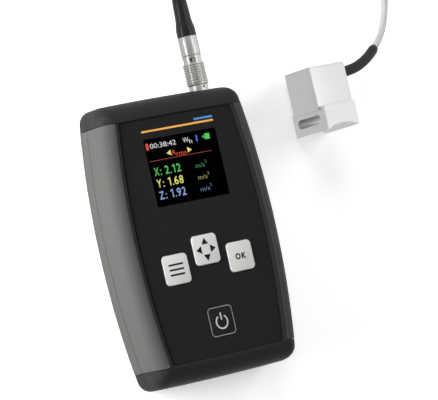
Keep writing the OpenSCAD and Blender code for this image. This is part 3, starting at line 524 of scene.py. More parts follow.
class Outline:
    """The housing's outline at a level, a barrel of six arcs, and its stretch along the grips."""

    def __init__(self, h):
        self.hw, self.hl = h.body_width / MM / 2, h.body_length / MM / 2
        self.side_r, self.end_r, self.corner = h.side_radius / MM, h.end_radius / MM, h.corner_radius / MM
        self.grip = h.grip_length / MM / 2
        self.y = BODY_Y

    def side(self, y, inset):
        """x = half width - R + sqrt(R * R - y * y)."""
        return self.hw - inset - self.side_r + np.sqrt(self.side_r**2 - y * y)

    def corner_of(self, side_in, end_in):
        radius = max(self.corner - 0.74 * end_in, 0.7)
        centre = corner_centre(self.hw - side_in, self.hl - end_in, radius, self.side_r, self.end_r)
        return radius, centre

    def grip_end(self, side_in, end_in):
        return min(self.grip, self.corner_of(side_in, end_in)[1][1] - 0.2)

    def ring(self, side_in, end_in, z, pocket_in, pocket_z, grip_n=26, corner_n=16, end_n=14):
        """One closed ring: the quarter along the grip, round the corner and to the middle, mirrored twice."""
        radius, k = self.corner_of(side_in, end_in)
        ye = self.grip_end(side_in, end_in)
        y = np.linspace(0.0, ye, grip_n)
        held = np.c_[self.side(y, pocket_in), y, np.full(grip_n, pocket_z)]
        step = [[self.side(ye + 0.15, side_in), ye + 0.15, z]]
        a1 = math.atan2(k[1], k[0] - self.hw + side_in + self.side_r)
        a2 = math.atan2(k[1] - self.hl + end_in + self.end_r, k[0])
        a = np.linspace(a1, a2, corner_n)
        turn = np.c_[k[0] + radius * np.cos(a), k[1] + radius * np.sin(a), np.full(corner_n, z)]
        a = np.linspace(a2, np.pi / 2, end_n)[1:]
        bow = np.c_[self.end_r * np.cos(a), self.hl - end_in - self.end_r + self.end_r * np.sin(a)]
        bow[-1, 0] = 0.0
        quarter = np.vstack([held, step, turn, np.c_[bow, np.full(len(bow), z)]])
        flip = quarter[-2::-1] * (-1, 1, 1)
        ring = np.vstack([quarter, flip, quarter[1:] * (-1, -1, 1), quarter[-2:0:-1] * (1, -1, 1)])
        return ring + (0.0, self.y, 0.0)


def end_inset(h, z):
    """How far the end has drawn in at a height: a quarter ellipse from the side up to the rim."""
    rise = h.end_round_height / MM
    share = np.clip((z - h.body_height / MM + rise) / rise, 0.0, 1.0)
    return h.end_round_width / MM * (1 - np.sqrt(1 - share * share))


def front_levels(h):
    """Levels from the seam up: side inset, end inset, height, then the pocket's inset and height.
    The side's round is a quarter ellipse in its angle, and the end's ellipse is read at the same height."""
    top, groove, seam = h.body_height / MM, h.seam_groove / MM, h.seam_height / MM
    sr, ew, g = h.side_round / MM, h.end_round_width / MM, h.grip_depth / MM
    z0 = top - sr
    rows = [(groove, groove, seam, g, seam), (0.0, 0.0, seam + groove, g, seam + groove)]
    rows += [(0.0, end_inset(h, z), z, g, z) for z in np.linspace(seam + 1.5, z0 - 0.8, 5)]
    for a in np.radians(np.r_[np.linspace(0.0, 80.0, 13), 83.0, 86.0, 88.0]):
        z = z0 + sr * math.sin(a)
        s = sr * (1 - math.cos(a))
        rows.append((s, end_inset(h, z), z, sr - (sr - g) * math.cos(a), z0 + (sr - g) * math.sin(a)))
    rib, slope, deep = h.rib_width / MM, h.frame_width / MM, top - h.recess_depth / MM
    rows += [(sr, ew, top, sr, top), (sr + rib - 0.12, ew + 0.2, top, sr + rib - 0.12, top)]
    rows += [(sr + rib, ew + 0.3, top - 0.05, sr + rib, top - 0.05)]
    rows += [(sr + rib + slope - 0.1, ew + 0.75, deep + 0.06, sr + rib + slope - 0.1, deep + 0.06)]
    rows += [(sr + rib + slope, ew + 0.8, deep, sr + rib + slope, deep)]
    return rows


def back_levels(h):
    """Levels from the flat back up to the seam, the edge being a quarter circle."""
    r, groove, seam, g = h.back_radius / MM, h.seam_groove / MM, h.seam_height / MM, h.grip_depth / MM
    rows = []
    for a in np.radians([90.0, 82.0, 74.0, 66.0, 58.0, 50.0]):
        s = r * (1 - math.cos(a))
        rows.append((s, s, r * (1 - math.sin(a)), s, r * (1 - math.sin(a))))
    for a in np.radians([44.0, 36.0, 28.0, 19.0, 10.0, 0.0]):
        s, p = r * (1 - math.cos(a)), r - (r - g) * math.cos(a)
        rows.append((s, s, r * (1 - math.sin(a)), p, r - (r - g) * math.sin(a)))
    rows += [(0.0, 0.0, seam - groove, g, seam - groove), (groove, groove, seam, g, seam)]
    return rows


def floor_with_holes(shape, ring, holes, z, up=False):
    """A flat face at one height: the outline and its holes, triangulated between them. A triangle is
    in a hole where its middle lies to the left of every edge of that hole's loop."""
    loops = [ring[:, :2]] + holes
    starts = np.cumsum([0] + [len(loop) for loop in loops])
    points = np.vstack(loops)
    borders = [
        (int(s + i), int(s + (i + 1) % len(loop))) for s, loop in zip(starts, loops) for i in range(len(loop))
    ]
    found, _, faces, *_ = delaunay_2d_cdt([tuple(p) for p in points], borders, [], 0, 1e-6)
    flat = np.array([tuple(p) for p in found])
    centres = np.array([flat[list(f)].mean(0) for f in faces])
    keep = np.ones(len(faces), bool)
    for hole in holes:
        edge = np.roll(hole, -1, axis=0) - hole
        away = centres[:, None] - hole
        keep &= (edge[:, 0] * away[:, :, 1] - edge[:, 1] * away[:, :, 0] <= 0).any(axis=1)
    kept = [tuple(faces[i])[:: 1 if up else -1] for i in np.flatnonzero(keep)]
    return shape.add(np.c_[flat, np.full(len(flat), z)], kept)


def screw_places():
    """Middles of the four case screws, from the CAD node's own box."""
    low, high = edges_of("case_screws")
    r = 2.8
    return [(x, y) for x in (low[0] + r, high[0] - r) for y in (low[1] + r, high[1] - r)]


KEYS = ("menu_key", "nav_key", "ok_key", "power_key")
KEY_SIZE = 15.6


def key_top(node):
    """Middle of a key seen from the front, and the height of its top."""
    low, high = edges_of(node)
    return (low[0] + high[0]) / 2, (low[1] + high[1]) / 2, high[2]


class METER_OT_shells(bpy.types.Operator):
    """Lofts the two shells at full smoothness, with pockets under the grips and sunk screw holes."""

    bl_idname = "meter.shells"
    bl_label = "Shells"

    def execute(self, context):
        h = context.scene.meter_housing
        # ABS, moulded in a spark-eroded tool: an even matt black whose fine grain softens every
        # highlight. The real grain is 0.15 mm, drawn 0.7 mm so that it shows.
        grained = {"grain": 0.7, "relief": 0.035, "tint": 0.1, "patches": 22.0, "specular": 0.13}
        abs_black = shaded("moulded_abs", h.shell_colour, 0.42, **grained)
        outline = Outline(h)
        front = Shape()
        rings = [outline.ring(*row) for row in front_levels(h)]
        n = len(rings[0])
        front.add(np.vstack(rings), grid_faces(len(rings), n).tolist() + lids(len(rings), n)[:1])
        # Each key stands in a well of its own shape
        deep, gap = rings[-1][0, 2], 0.35
        width, corner = KEY_SIZE + 2 * gap, context.scene.meter_front.key_corner / MM + gap
        mouths = [rounded_square(width, width, corner) + key_top(node)[:2] for node in KEYS]
        floor_with_holes(front, rings[-1], mouths, deep, up=True)
        for mouth in mouths:
            well = np.vstack([level(mouth, deep), level(mouth, deep - 4.4)])
            front.add(well, grid_faces(2, len(mouth)).tolist() + lids(2, len(mouth))[1:])
        front.piece("front_shell_skin", ROOT, "shell_plastic", abs_black, ["front_shell"], sharp=28.0)

        back = Shape()
        rings = [outline.ring(*row) for row in back_levels(h)]
        back.add(np.vstack(rings), grid_faces(len(rings), n).tolist() + lids(len(rings), n)[1:])
        mouths = [circle(40) * 3.05 + place for place in screw_places()]
        floor_with_holes(back, rings[0], mouths, 0.0)
        for mouth, place in zip(mouths, screw_places()):
            neck = circle(40) * 2.9 + place
            rows = [level(mouth, 0.0), level(neck, 0.15), level(neck, 2.9)]
            well = grid_faces(3, 40)[:, ::-1].tolist() + [lids(3, 40)[1][::-1]]
            back.add(np.vstack(rows), well)
        back.piece("back_shell_skin", ROOT, "shell_plastic", abs_black, ["back_shell"], sharp=28.0)
        return {"FINISHED"}


def grip_half(shape, outline, outer, inner, ends, side, stations=61):
    """A grip: the section's outer and inner lines carried along the side's arc, with rounded ends.
    Near an end the outer line sinks by share * rest * (1 - sqrt(1 - u * u)), u going from 0 to 1 over
    the last stretch, rest."""
    outer, inner, ends = np.asarray(outer), np.asarray(inner), np.asarray(ends)
    s = np.linspace(-1.0, 1.0, stations)
    s = np.sign(s) * (1 - (1 - np.abs(s)) ** 1.6)
    y = s[:, None] * ends[None, :]
    rest, share = 0.45, 0.8
    u = np.clip((np.abs(y) - (ends - rest)) / rest, 0.0, 1.0)
    sink = share * rest * (1 - np.sqrt(1 - u * u))
    edge = np.gradient(outer, axis=0)
    normal = np.c_[edge[:, 1], -edge[:, 0]]
    normal /= np.linalg.norm(normal, axis=1, keepdims=True)
    out_in = outer[:, 0] + sink * normal[:, 0]
    out_z = outer[:, 1] - sink * normal[:, 1]
    skin = np.stack([outline.side(y, out_in), y, out_z], axis=-1)
    under = np.stack([outline.side(y, inner[:, 0]), y, np.broadcast_to(inner[:, 1], y.shape)], axis=-1)
    rows = np.concatenate([skin, under[:, ::-1]], axis=1)
    n = rows.shape[1]
    half = n // 2
    faces = grid_faces(stations, n)[:, ::-1].tolist()
    i = np.arange(half - 1)
    cap = np.stack([i, i + 1, n - 2 - i, n - 1 - i], axis=1)
    faces += cap.tolist() + (cap[:, ::-1] + (stations - 1) * n).tolist()
    points = rows.reshape(-1, 3) * (side, 1, 1) + (0.0, outline.y, 0.0)
    if side < 0:
        faces = [f[::-1] for f in faces]
    return shape.add(points, faces)


class METER_OT_grips(bpy.types.Operator):
    """Carries the rubber grips along both sides, each in a front and a back half."""

    bl_idname = "meter.grips"
    bl_label = "Grips"

    def execute(self, context):
        h = context.scene.meter_housing
        # Thermoplastic rubber moulded over the shell: mid grey, dull, with a soft bloom of light
        # where it turns away.
        dull = {"grain": 0.8, "tint": 0.05, "patches": 30.0, "specular": 0.16}
        tpe = shaded("overmoulded_tpe", h.grip_colour, 0.62, **dull)
        outline = Outline(h)
        top, groove, seam = h.body_height / MM, h.seam_groove / MM, h.seam_height / MM
        sr, g, lip, proud = h.side_round / MM, h.grip_depth / MM, h.lip_round / MM, h.grip_proud / MM
        z0 = top - sr
        outer = [(groove, seam), (groove / 2, seam + groove / 2), (-proud, seam + groove)]
        outer += [(-proud, z) for z in np.linspace(seam + 1.0, z0 - 0.6, 6)]
        inner = [(g - 0.05, z) for _, z in outer]
        for a in np.radians(np.linspace(0.0, 84.0, 16)):
            outer.append((sr - (sr + proud) * math.cos(a), z0 + (sr + proud) * math.sin(a)))
            inner.append((sr - (sr - g) * math.cos(a), z0 + (sr - g) * math.sin(a)))
        last = sr - 0.05
        for a in np.radians([90.0, 60.0, 30.0, 0.0]):
            outer.append((last - lip + lip * math.cos(a), top + proud - lip + lip * math.sin(a)))
            inner.append((last, top - g))
        ends = [outline.grip_end(max(i, 0.0), end_inset(h, min(z, top))) - 0.08 for i, z in outer]
        for side, word in ((-1, "left"), (1, "right")):
            front = grip_half(Shape(), outline, outer, inner, ends, side)
            front.piece(f"front_grip_{word}_skin", ROOT, "grip_rubber", tpe, [f"front_grip_{word}"])
        r = h.back_radius / MM
        outer = [(groove, seam), (groove / 2, seam - groove / 2), (-proud, seam - groove)]
        outer += [(-proud, z) for z in np.linspace(seam - 1.0, r + 0.4, 5)]
        inner = [(g - 0.05, z) for _, z in outer]
        for a in np.radians(np.linspace(0.0, 44.0, 9)):
            outer.append((r - (r + proud) * math.cos(a), r - (r + proud) * math.sin(a)))
            inner.append((r - (r - g) * math.cos(a), r - (r - g) * math.sin(a)))
        a = math.radians(45.5)
        outer.append((r - (r - 0.25) * math.cos(a), r - (r - 0.25) * math.sin(a)))
        inner.append(inner[-1])
        ends = [outline.grip_end(max(p[0], 0.0), max(p[0], 0.0)) - 0.1 for p in outer]
        for side, word in ((-1, "left"), (1, "right")):
            back = grip_half(Shape(), outline, outer, inner, ends, -side)
            back.points = [p * (-1, 1, 1) for p in back.points]
            back.piece(f"back_grip_{word}_skin", ROOT, "grip_rubber", tpe, [f"back_grip_{word}"])
        return {"FINISHED"}


# Front


class METER_OT_keys(bpy.types.Operator):
    """Makes the three light keys with rounded edges and the flush dark key, each with its mark."""

    bl_idname = "meter.keys"
    bl_label = "Keys"

    def execute(self, context):
        f = context.scene.meter_front
        # ABS key caps, moulded and lacquered: a warm light grey with a soft satin gloss.
        cap = shaded("lacquered_abs", f.key_colour, 0.5, grain=0.7, relief=0.02, tint=0.03, patches=9.0)
        # Painted shade: the caps' sides are painted darker towards their foot, so that no edge lights up.
        rim = key_top("ok_key")[2]
        cap = with_painted_shade(cap, (0, 0, 0), (0, 0, 1), (rim - 0.4) * MM, rim * MM, "#4c4c4b")
        # Screen-printed epoxy ink: flat black, a little duller than the cap.
        ink = shaded("screen_print_dark", f.mark_colour, 0.6, grain=0.5, relief=0.01, specular=0.15)
        # The same ink in light grey on the dark key.
        pale = shaded("screen_print_light", f.light_mark_colour, 0.55, grain=0.5, relief=0.01)
        faint = shaded("screen_print_grey", f.frame_mark_colour, 0.55, grain=0.5, relief=0.01)
        # The dark key carries the panel's own film.
        film = film_of("key_film", f.panel_colour)
        edge, corner, ink_t = f.key_edge / MM, f.key_corner / MM, f.print_height / MM
        size = KEY_SIZE
        for node in KEYS:
            x, y, top = key_top(node)
            dark = node == "power_key"
            low = edges_of(node)[0][2]
            key = pad(Shape(), size, size, corner, top - 3.2, top, 0.2 if dark else edge, (x, y))
            prism(key, circle(24) * 3.0 + (x, y), low, top - 3.0)
            slot, look = ("key_dark", film) if dark else ("key_light", cap)
            key.piece(f"{node}_cap", node, slot, look, [node], sharp=40.0)
            marks = Shape()
            low, high = top - ink_t, top + ink_t
            if node == "menu_key":
                for step in (-1, 0, 1):
                    bar = rounded_square(9.0, 1.0, 0.25, 3) + (x, y + 2.6 * step)
                    prism(marks, bar, low, high)
            elif node == "nav_key":
                arrow = np.array([(6.1, 0.0), (2.7, 2.1), (2.7, -2.1)])
                for quarter in range(4):
                    c, s = round(math.cos(quarter * math.pi / 2)), round(math.sin(quarter * math.pi / 2))
                    prism(marks, arrow @ np.array([[c, s], [-s, c]]) + (x, y), low, high)
            elif node == "ok_key":
                letters(marks, "O", x - 3.35, y - 1.65, 3.3, 3.3, low, high, 0.05)
                letters(marks, "K", x + 0.55, y - 1.6, 2.9, 3.2, low, high, 0.05)
            else:
                ring = rounded_square(size - 0.5, size - 0.5, corner - 0.2, 10) + (x, y)
                inside = rounded_square(size - 1.3, size - 1.3, corner - 0.6, 10) + (x, y)
                band(Shape(), ring, inside, low, high).piece("power_key_frame", node, slot, faint)
                a = np.radians(np.linspace(90.0 + 33.0, 450.0 - 33.0, 40))
                centre = (x, y - 0.45)
                arc = np.vstack(
                    [np.c_[np.cos(a), np.sin(a)] * 3.85, np.c_[np.cos(a[::-1]), np.sin(a[::-1])] * 3.05]
                )
                prism(marks, arc + centre, low, high)
                prism(marks, rounded_square(0.8, 3.8, 0.3, 3) + (x, y + 2.5), low, high)
            marks.piece(f"{node}_mark", node, slot, pale if dark else ink)
        return {"FINISHED"}


class METER_OT_display(bpy.types.Operator):
    """Makes the display window and the lit readout on it, and the plain lines printed above."""

    bl_idname = "meter.display"
    bl_label = "Display"

    def execute(self, context):
        f = context.scene.meter_front
        low, high = edges_of("display_window")
        # Acrylic window with an anti-reflection coat over a dark display: deep black, hardly a reflection.
        acrylic = shaded("window_acrylic", "#010102", 0.2, grain=3.0, relief=0.002, tint=0.2, specular=0.0)
        window = Shape()
        middle = (low + high) / 2
        pad(window, high[0] - low[0], high[1] - low[1], 1.0, low[2], high[2], 0.12, middle[:2], 3)
        window.piece("window_pane", ROOT, "window_clear", acrylic, ["display_window"])
        z0, z1, row = high[2] - 0.004, high[2] + 0.008, middle[1]

        def rectangle(shape, left, base, width, height, radius=0.1):
            outline = rounded_square(width, height, radius, 2) + (left + width / 2, row + base + height / 2)
            prism(shape, outline, z0, z1)

        def words(shape, text, left, base, width, height, weight=0.0):
            letters(shape, text, left, row + base, width, height, z0, z1, weight)

        def reading(shape, text, left, base, height):
            for sign in text:
                if sign == ".":
                    rectangle(shape, left, base, 0.15 * height, 0.15 * height, 0.05)
                    left += 0.28 * height
                elif sign == "1":
                    # The display's own 1: a flag and no foot
                    one = np.array([(30, 0), (45, 0), (45, 100), (33, 100), (8, 84), (8, 71), (30, 82)])
                    prism(shape, one * height / 100 + (left, row + base), z0, z1)
                    left += 0.69 * height
                else:
                    words(shape, sign, left, base, 0.57 * height, height, 0.012)
                    left += 0.72 * height

        white, green, yellow, blue, red, deep, blue_bar = (Shape() for _ in range(7))
        words(white, "00:38:42", -19.2, 12.5, 16.0, 2.6)
        words(white, "W", 1.2, 12.6, 3.6, 2.6)
        words(white, "h", 5.0, 11.8, 1.8, 2.2)
        rectangle(green, 14.9, 12.4, 3.2, 3.0, 0.3)
        rectangle(green, 13.7, 13.3, 0.8, 1.2, 0.1)
        prism(yellow, np.array([(-10.2, 8.9), (-7.5, 7.4), (-7.5, 10.4)]) + (0, row), z0, z1)
        prism(yellow, np.array([(5.5, 8.5), (2.8, 10.2), (2.8, 7.2)]) + (0, row), z0, z1)
        words(red, "A", -7.1, 7.4, 2.5, 2.8)
        words(red, "rms", -4.3, 6.5, 6.2, 1.8)
        rectangle(red, -21.7, 12.0, 1.6, 3.6, 0.3)
        rectangle(deep, -21.2, 6.0, 38.6, 0.3, 0.05)
        rectangle(blue_bar, 9.4, 12.0, 1.0, 3.4, 0.2)
        units = []
        for shape, letter, value, base in (
            (green, "X", "2.12", -1.5),
            (yellow, "Y", "1.68", -7.7),
            (blue, "Z", "1.92", -13.9),
        ):
            words(shape, letter, -20.1, base, 3.0, 4.1, 0.012)
            rectangle(shape, -16.3, base, 0.65, 0.65, 0.05)
            rectangle(shape, -16.3, base + 2.1, 0.65, 0.65, 0.05)
            reading(shape, value, -13.4, base, 4.3)
            dim = Shape()
            words(dim, "m/s", 5.4, base + 0.1, 5.8, 2.4)
            words(dim, "2", 11.6, base + 2.0, 1.1, 1.5)
            units.append(dim)
        for shape, word, code in (
            (white, "white", "#dcdcdc"),
            (green, "green", "#46c94e"),
            (yellow, "yellow", "#e8e36a"),
            (blue, "blue", "#8aa6dc"),
            (red, "red", "#d9401f"),
            (deep, "deep_red", "#8a2614"),
            (blue_bar, "strong_blue", "#2f62e6"),
            (units[0], "dim_green", "#35793a"),
            (units[1], "dim_yellow", "#8f8c46"),
            (units[2], "dim_blue", "#566a8f"),
        ):
            # Backlit display, seen as light of its own colour.
            shape.piece(f"readout_{word}", ROOT, "window_clear", lit(f"lit_{word}", code, f.glow))

        # Screen-printed lines in two colours, plain and straight.
        orange = shaded("screen_print_orange", f.stripe_colour, 0.5, grain=0.5, relief=0.01)
        azure = shaded("screen_print_azure", f.accent_colour, 0.5, grain=0.5, relief=0.01)
        face = edges_of("front_panel")[1][2]
        t = f.print_height / MM
        stripe, accent = Shape(), Shape()
        prism(stripe, rounded_square(45.0, 1.0, 0.45, 4) + (0.0, row + 21.7), face - t, face + t)
        prism(accent, rounded_square(12.0, 1.0, 0.45, 4) + (16.5, row + 23.7), face - t, face + t)
        stripe.piece("panel_stripe", ROOT, "panel_film", orange)
        accent.piece("panel_accent", ROOT, "panel_film", azure)
        return {"FINISHED"}


# Plug


PLUG_BORE = 3.15
# Where the first slot of the collar lies, in degrees round from the meter's right
SLOT_TURN = 123.0


def socket_axis():
    """A point on the axis of the socket and the plug, which runs along Y."""
    low, high = edges_of("socket_body")
    return (low + high) / 2 * (1, 0, 1)


def along_socket(shape):
    """From the shape's own Y axis to the socket's axis."""
    return shape.moved(np.eye(3), socket_axis())


def round_node(node):
    """Start, finish and radius of a CAD node that is round about the socket's axis."""
    low, high = edges_of(node)
    return low[1], high[1], (high[0] - low[0]) / 2


def knurl(shape, start, finish, outer, bore, counter, skirt, teeth, rows, depth):
    """The sleeve: its outside is outer - depth * groove(angle, along), where a groove is 1 on a line
    between teeth and falls to 0 at the tooth by a smooth step. The bore closes it."""
    plain_front, plain_rear = 1.2, 0.8
    y = np.linspace(start + plain_front, finish - plain_rear, rows * 12 + 1)
    a = np.linspace(0.0, 2 * np.pi, teeth * 12, endpoint=False)
    across = np.abs((a * teeth / (2 * np.pi)) % 1.0 - 0.5) * 2
    share = (y - y[0]) / (y[-1] - y[0])
    lengthways = np.abs((share * rows) % 1.0 - 0.5) * 2
    lengthways[[0, -1]] = 1.0
    wall = np.maximum(across[None, :], lengthways[:, None])
    t = np.clip((wall - 0.6) / 0.26, 0.0, 1.0)
    radius = outer - depth * t * t * (3 - 2 * t)
    edge = 0.35
    front = [(bore, start), (outer - edge, start), (outer - 0.1, start + 0.1), (outer, start + edge)]
    front += [(outer, start + plain_front - 0.2)]
    rear = [(outer, finish - plain_rear + 0.2), (outer, finish - edge), (outer - 0.1, finish - 0.1)]
    rear += [(outer - edge, finish), (counter, finish), (counter, finish - skirt), (bore, finish - skirt)]
    radii = [*(np.full(len(a), r) for r, _ in front), *radius, *(np.full(len(a), r) for r, _ in rear)]
    along = [*(place for _, place in front), *y, *(place for _, place in rear)]
    return spun(shape, np.array(radii), along, len(a))


def wrapped(shape, outline, radius, degrees):
    """A thin patch bent round the Y axis: angle = degrees + across / radius, at the radius and just
    inside it. The outline's second column runs along the axis."""
    angle = math.radians(degrees) + outline[:, 0] / radius
    outside = np.c_[radius * np.cos(angle), outline[:, 1], radius * np.sin(angle)]
    n = len(outline)
    faces = [list(range(n)), list(range(n, 2 * n))[::-1]] + grid_faces(2, n)[:, ::-1].tolist()
    return shape.add(np.vstack([outside, outside * (0.985, 1.0, 0.985)]), faces)


def slotted_barrel(shape, start, finish, collar, slots, depth):
    """The plug's nose, barrel and collar, turned round a bore. In the collar the radius is
    collar - depth * within(angle) * within(along), each within being 1 inside a slot and 0 outside.
    A slot's half width and the ramp of its sides are in degrees."""
    n, half_width, ramp = 192, 17.0, 1.9
    a = np.linspace(0.0, 360.0, n, endpoint=False)
    apart = (a - SLOT_TURN + 180.0 / slots) % (360.0 / slots) - 180.0 / slots
    inside = np.clip((half_width - np.abs(apart)) / ramp, 0.0, 1.0)
    mouth, seat, first, last = start + 6.9, finish - 5.9, finish - 3.3, finish - 1.3
    rows = [(PLUG_BORE, start, 0), (3.6, start, 0), (3.8, start + 0.2, 0), (3.8, mouth, 0), (4.25, mouth, 0)]
    rows += [(4.25, seat, 0), (collar, seat, 0), (collar, first - 0.08, 0), (collar, first, 1)]
    rows += [(collar, last, 1), (collar, last + 0.08, 0), (collar, finish - 0.1, 0)]
    rows += [(collar - 0.1, finish, 0), (PLUG_BORE, finish, 0)]
    return spun(shape, [r - depth * sunk * inside for r, _, sunk in rows], [y for _, y, _ in rows], n)


class METER_OT_plug(bpy.types.Operator):
    """Turns the socket's ring, the plug's barrel, its knurled latch sleeve and the collet nut."""

    bl_idname = "meter.plug"
    bl_label = "Socket and plug"

    def execute(self, context):
        p = context.scene.meter_plug
        # Brass, bead-blasted and nickel plated: bright, slightly warm, with soft reflections.
        plating = {"metallic": 1.0, "grain": 0.5, "relief": 0.006, "tint": 0.04, "patches": 5.0}
        nickel = shaded("nickel_plated_brass", p.nickel_colour, 0.3, **plating)
        # Black enamel in the key mark, and painted shade in the slots: both dull
        shadow = shaded("key_mark_enamel", "#1c1c1d", 0.6, grain=0.4, relief=0.01)
        slot_shade_paint = shaded("painted_slot_shade", "#636362", 0.5, grain=0.4, relief=0.02, tint=0.2)
        # The ring and the barrel behind it
        start, end, ring_r = round_node("socket_body")
        seat = end - 3.2
        profile = [(PLUG_BORE, start), (4.4, start), (4.4, seat), (ring_r, seat), (ring_r, end - 0.3)]
        profile += [(ring_r - 0.08, end - 0.08), (ring_r - 0.3, end), (3.95, end), (3.9, end - 0.1)]
        profile += [(3.9, end - 7.0), (PLUG_BORE, end - 7.0)]
        along_socket(turned(Shape(), profile)).piece(
            "socket_ring", ROOT, "connector_nickel", nickel, ["socket_body"], sharp=30.0
        )
        # The key mark: a small round dot of dark paint, on the side that faces the front
        dot = circle(24) * 0.6 + (0.0, end - 1.2)
        along_socket(wrapped(Shape(), dot, ring_r + 0.02, 90.0)).piece(
            "socket_mark", ROOT, "connector_nickel", shadow
        )
        start, end, collar = round_node("plug_body")
        slot_depth = p.slot_depth / MM
        along_socket(slotted_barrel(Shape(), start, end, collar, p.slots, slot_depth)).piece(
            "plug_barrel", ROOT, "connector_nickel", nickel, ["plug_body"], sharp=40.0
        )
        # Painted shade: dark patches in the bottom of the slots
        slot_shade_patches = Shape()
        patch = rounded_square(1.8, 1.9, 0.2, 2) + (0.0, end - 2.3)
        for i in range(p.slots):
            wrapped(slot_shade_patches, patch, collar - slot_depth + 0.12, SLOT_TURN + 360 * i / p.slots)
        along_socket(slot_shade_patches).piece("slot_painted_shade", ROOT, "connector_nickel", slot_shade_paint)
        start, end, outer = round_node("latch_sleeve")
        sleeve = knurl(Shape(), start, end, outer, 4.3, 5.1, 3.0, p.teeth, p.rows, p.tooth_depth / MM)
        # The same plating on the knurl, with painted shade in its grooves that draws its squares
        bright = shaded("nickel_plated_knurl", p.nickel_colour, 0.3, **plating)
        bottom, top = outer * MM - p.tooth_depth, outer * MM - 0.15 * p.tooth_depth
        knurled = with_painted_shade(bright, (socket_axis() * MM).tolist(), (1, 0, 1), bottom, top, "#adacaa")
        along_socket(sleeve).piece(
            "knurled_sleeve", "latch_sleeve", "connector_nickel", knurled, ["latch_sleeve"], sharp=50.0
        )
        start, end, r = round_node("collet_nut")
        profile = [(4.0, start), (r - 0.3, start), (r - 0.08, start + 0.08), (r, start + 0.3)]
        profile += [(r, end - 0.3), (r - 0.08, end - 0.08), (r - 0.3, end)]
        profile += [(3.05, end), (3.05, start + 6.1), (4.0, start + 5.1)]
        along_socket(turned(Shape(), profile)).piece(
            "collet_nut_turned", ROOT, "connector_nickel", nickel, ["collet_nut"], sharp=30.0
        )
        dress("socket_nut", nickel)
        return {"FINISHED"}


# Cable

# The route's points are the solids' own, in millimetres.
METER_ROUTE = [
    (26, 101.5, 13), (26, 105, 13), (26, 109, 13), (26.2, 114, 12.9), (26.6, 121, 12.3),
    (27.6, 127.5, 11.2), (28.9, 131.6, 9.7), (30.6, 135.4, 7.4), (32.4, 139, 4.9), (34, 142.7, 2.8),
    (35, 146.4, 1.9), (35, 150.2, 1.9),
]
SENSOR_ROUTE = [
    (112, 69, 15), (118, 69, 15), (124, 69.6, 14.8), (130, 71, 14.3), (135.5, 73.2, 13.5),
    (141, 76, 12.2), (146.5, 79.5, 10.6), (152, 83.5, 8.6), (157, 88, 6.5), (161.5, 93.2, 4.5),
    (165, 99, 2.9), (167.8, 105.5, 2), (169.5, 113, 1.9), (170.2, 121, 1.9), (169.8, 129.2, 1.9),
    (168, 137.4, 1.9), (165, 145.4, 1.9), (160.8, 153, 1.9), (155.4, 159.8, 1.9), (148.8, 165.8, 1.9),
    (141.2, 170.8, 1.9), (133, 174.6, 1.9), (124.4, 177.2, 1.9), (115.6, 178.8, 2.1), (107, 179.6, 3.4),
    (98.6, 180, 5.7), (90.4, 180.1, 8.6), (82.4, 180, 11.6), (75.2, 180, 14), (68.8, 180, 15.1),
    (64.8, 180, 15.1),
]
COIL_CENTRE = (61.0, 154.0)
RELIEF_POINTS = 5
BOOT_POINTS = 4


def coil_line(c):
    """The coil: at turn u the angle is 180 - 360 u degrees, the radius goes in and out by one pitch a
    turn, and the height climbs one pitch by a smooth step over the half turn where that reverses."""
    turns, layers = c.coil_turns, c.coil_layers
    pitch, outer = c.coil_pitch / MM, c.coil_radius / MM
    u = np.linspace(0.0, turns, int(turns * 48) + 1)
    span = turns / layers
    layer = np.minimum(np.floor(u / span), layers - 1)
    into = u - layer * span
    radius = outer - pitch * np.where(layer % 2 == 0, into, span - into)
    height = np.full_like(u, c.diameter / MM / 2)
    for j in range(1, layers):
        s = np.clip((u - j * span) * 2 + 0.5, 0.0, 1.0)
        height += pitch * s * s * (3 - 2 * s)
    a = np.radians(180.0 - 360.0 * u)
    return np.c_[COIL_CENTRE[0] + radius * np.cos(a), COIL_CENTRE[1] + radius * np.sin(a), height]


def run_of(points):
    """Length run along a path at each of its points."""
    return np.r_[0.0, np.cumsum(np.linalg.norm(np.diff(points, axis=0), axis=1))]


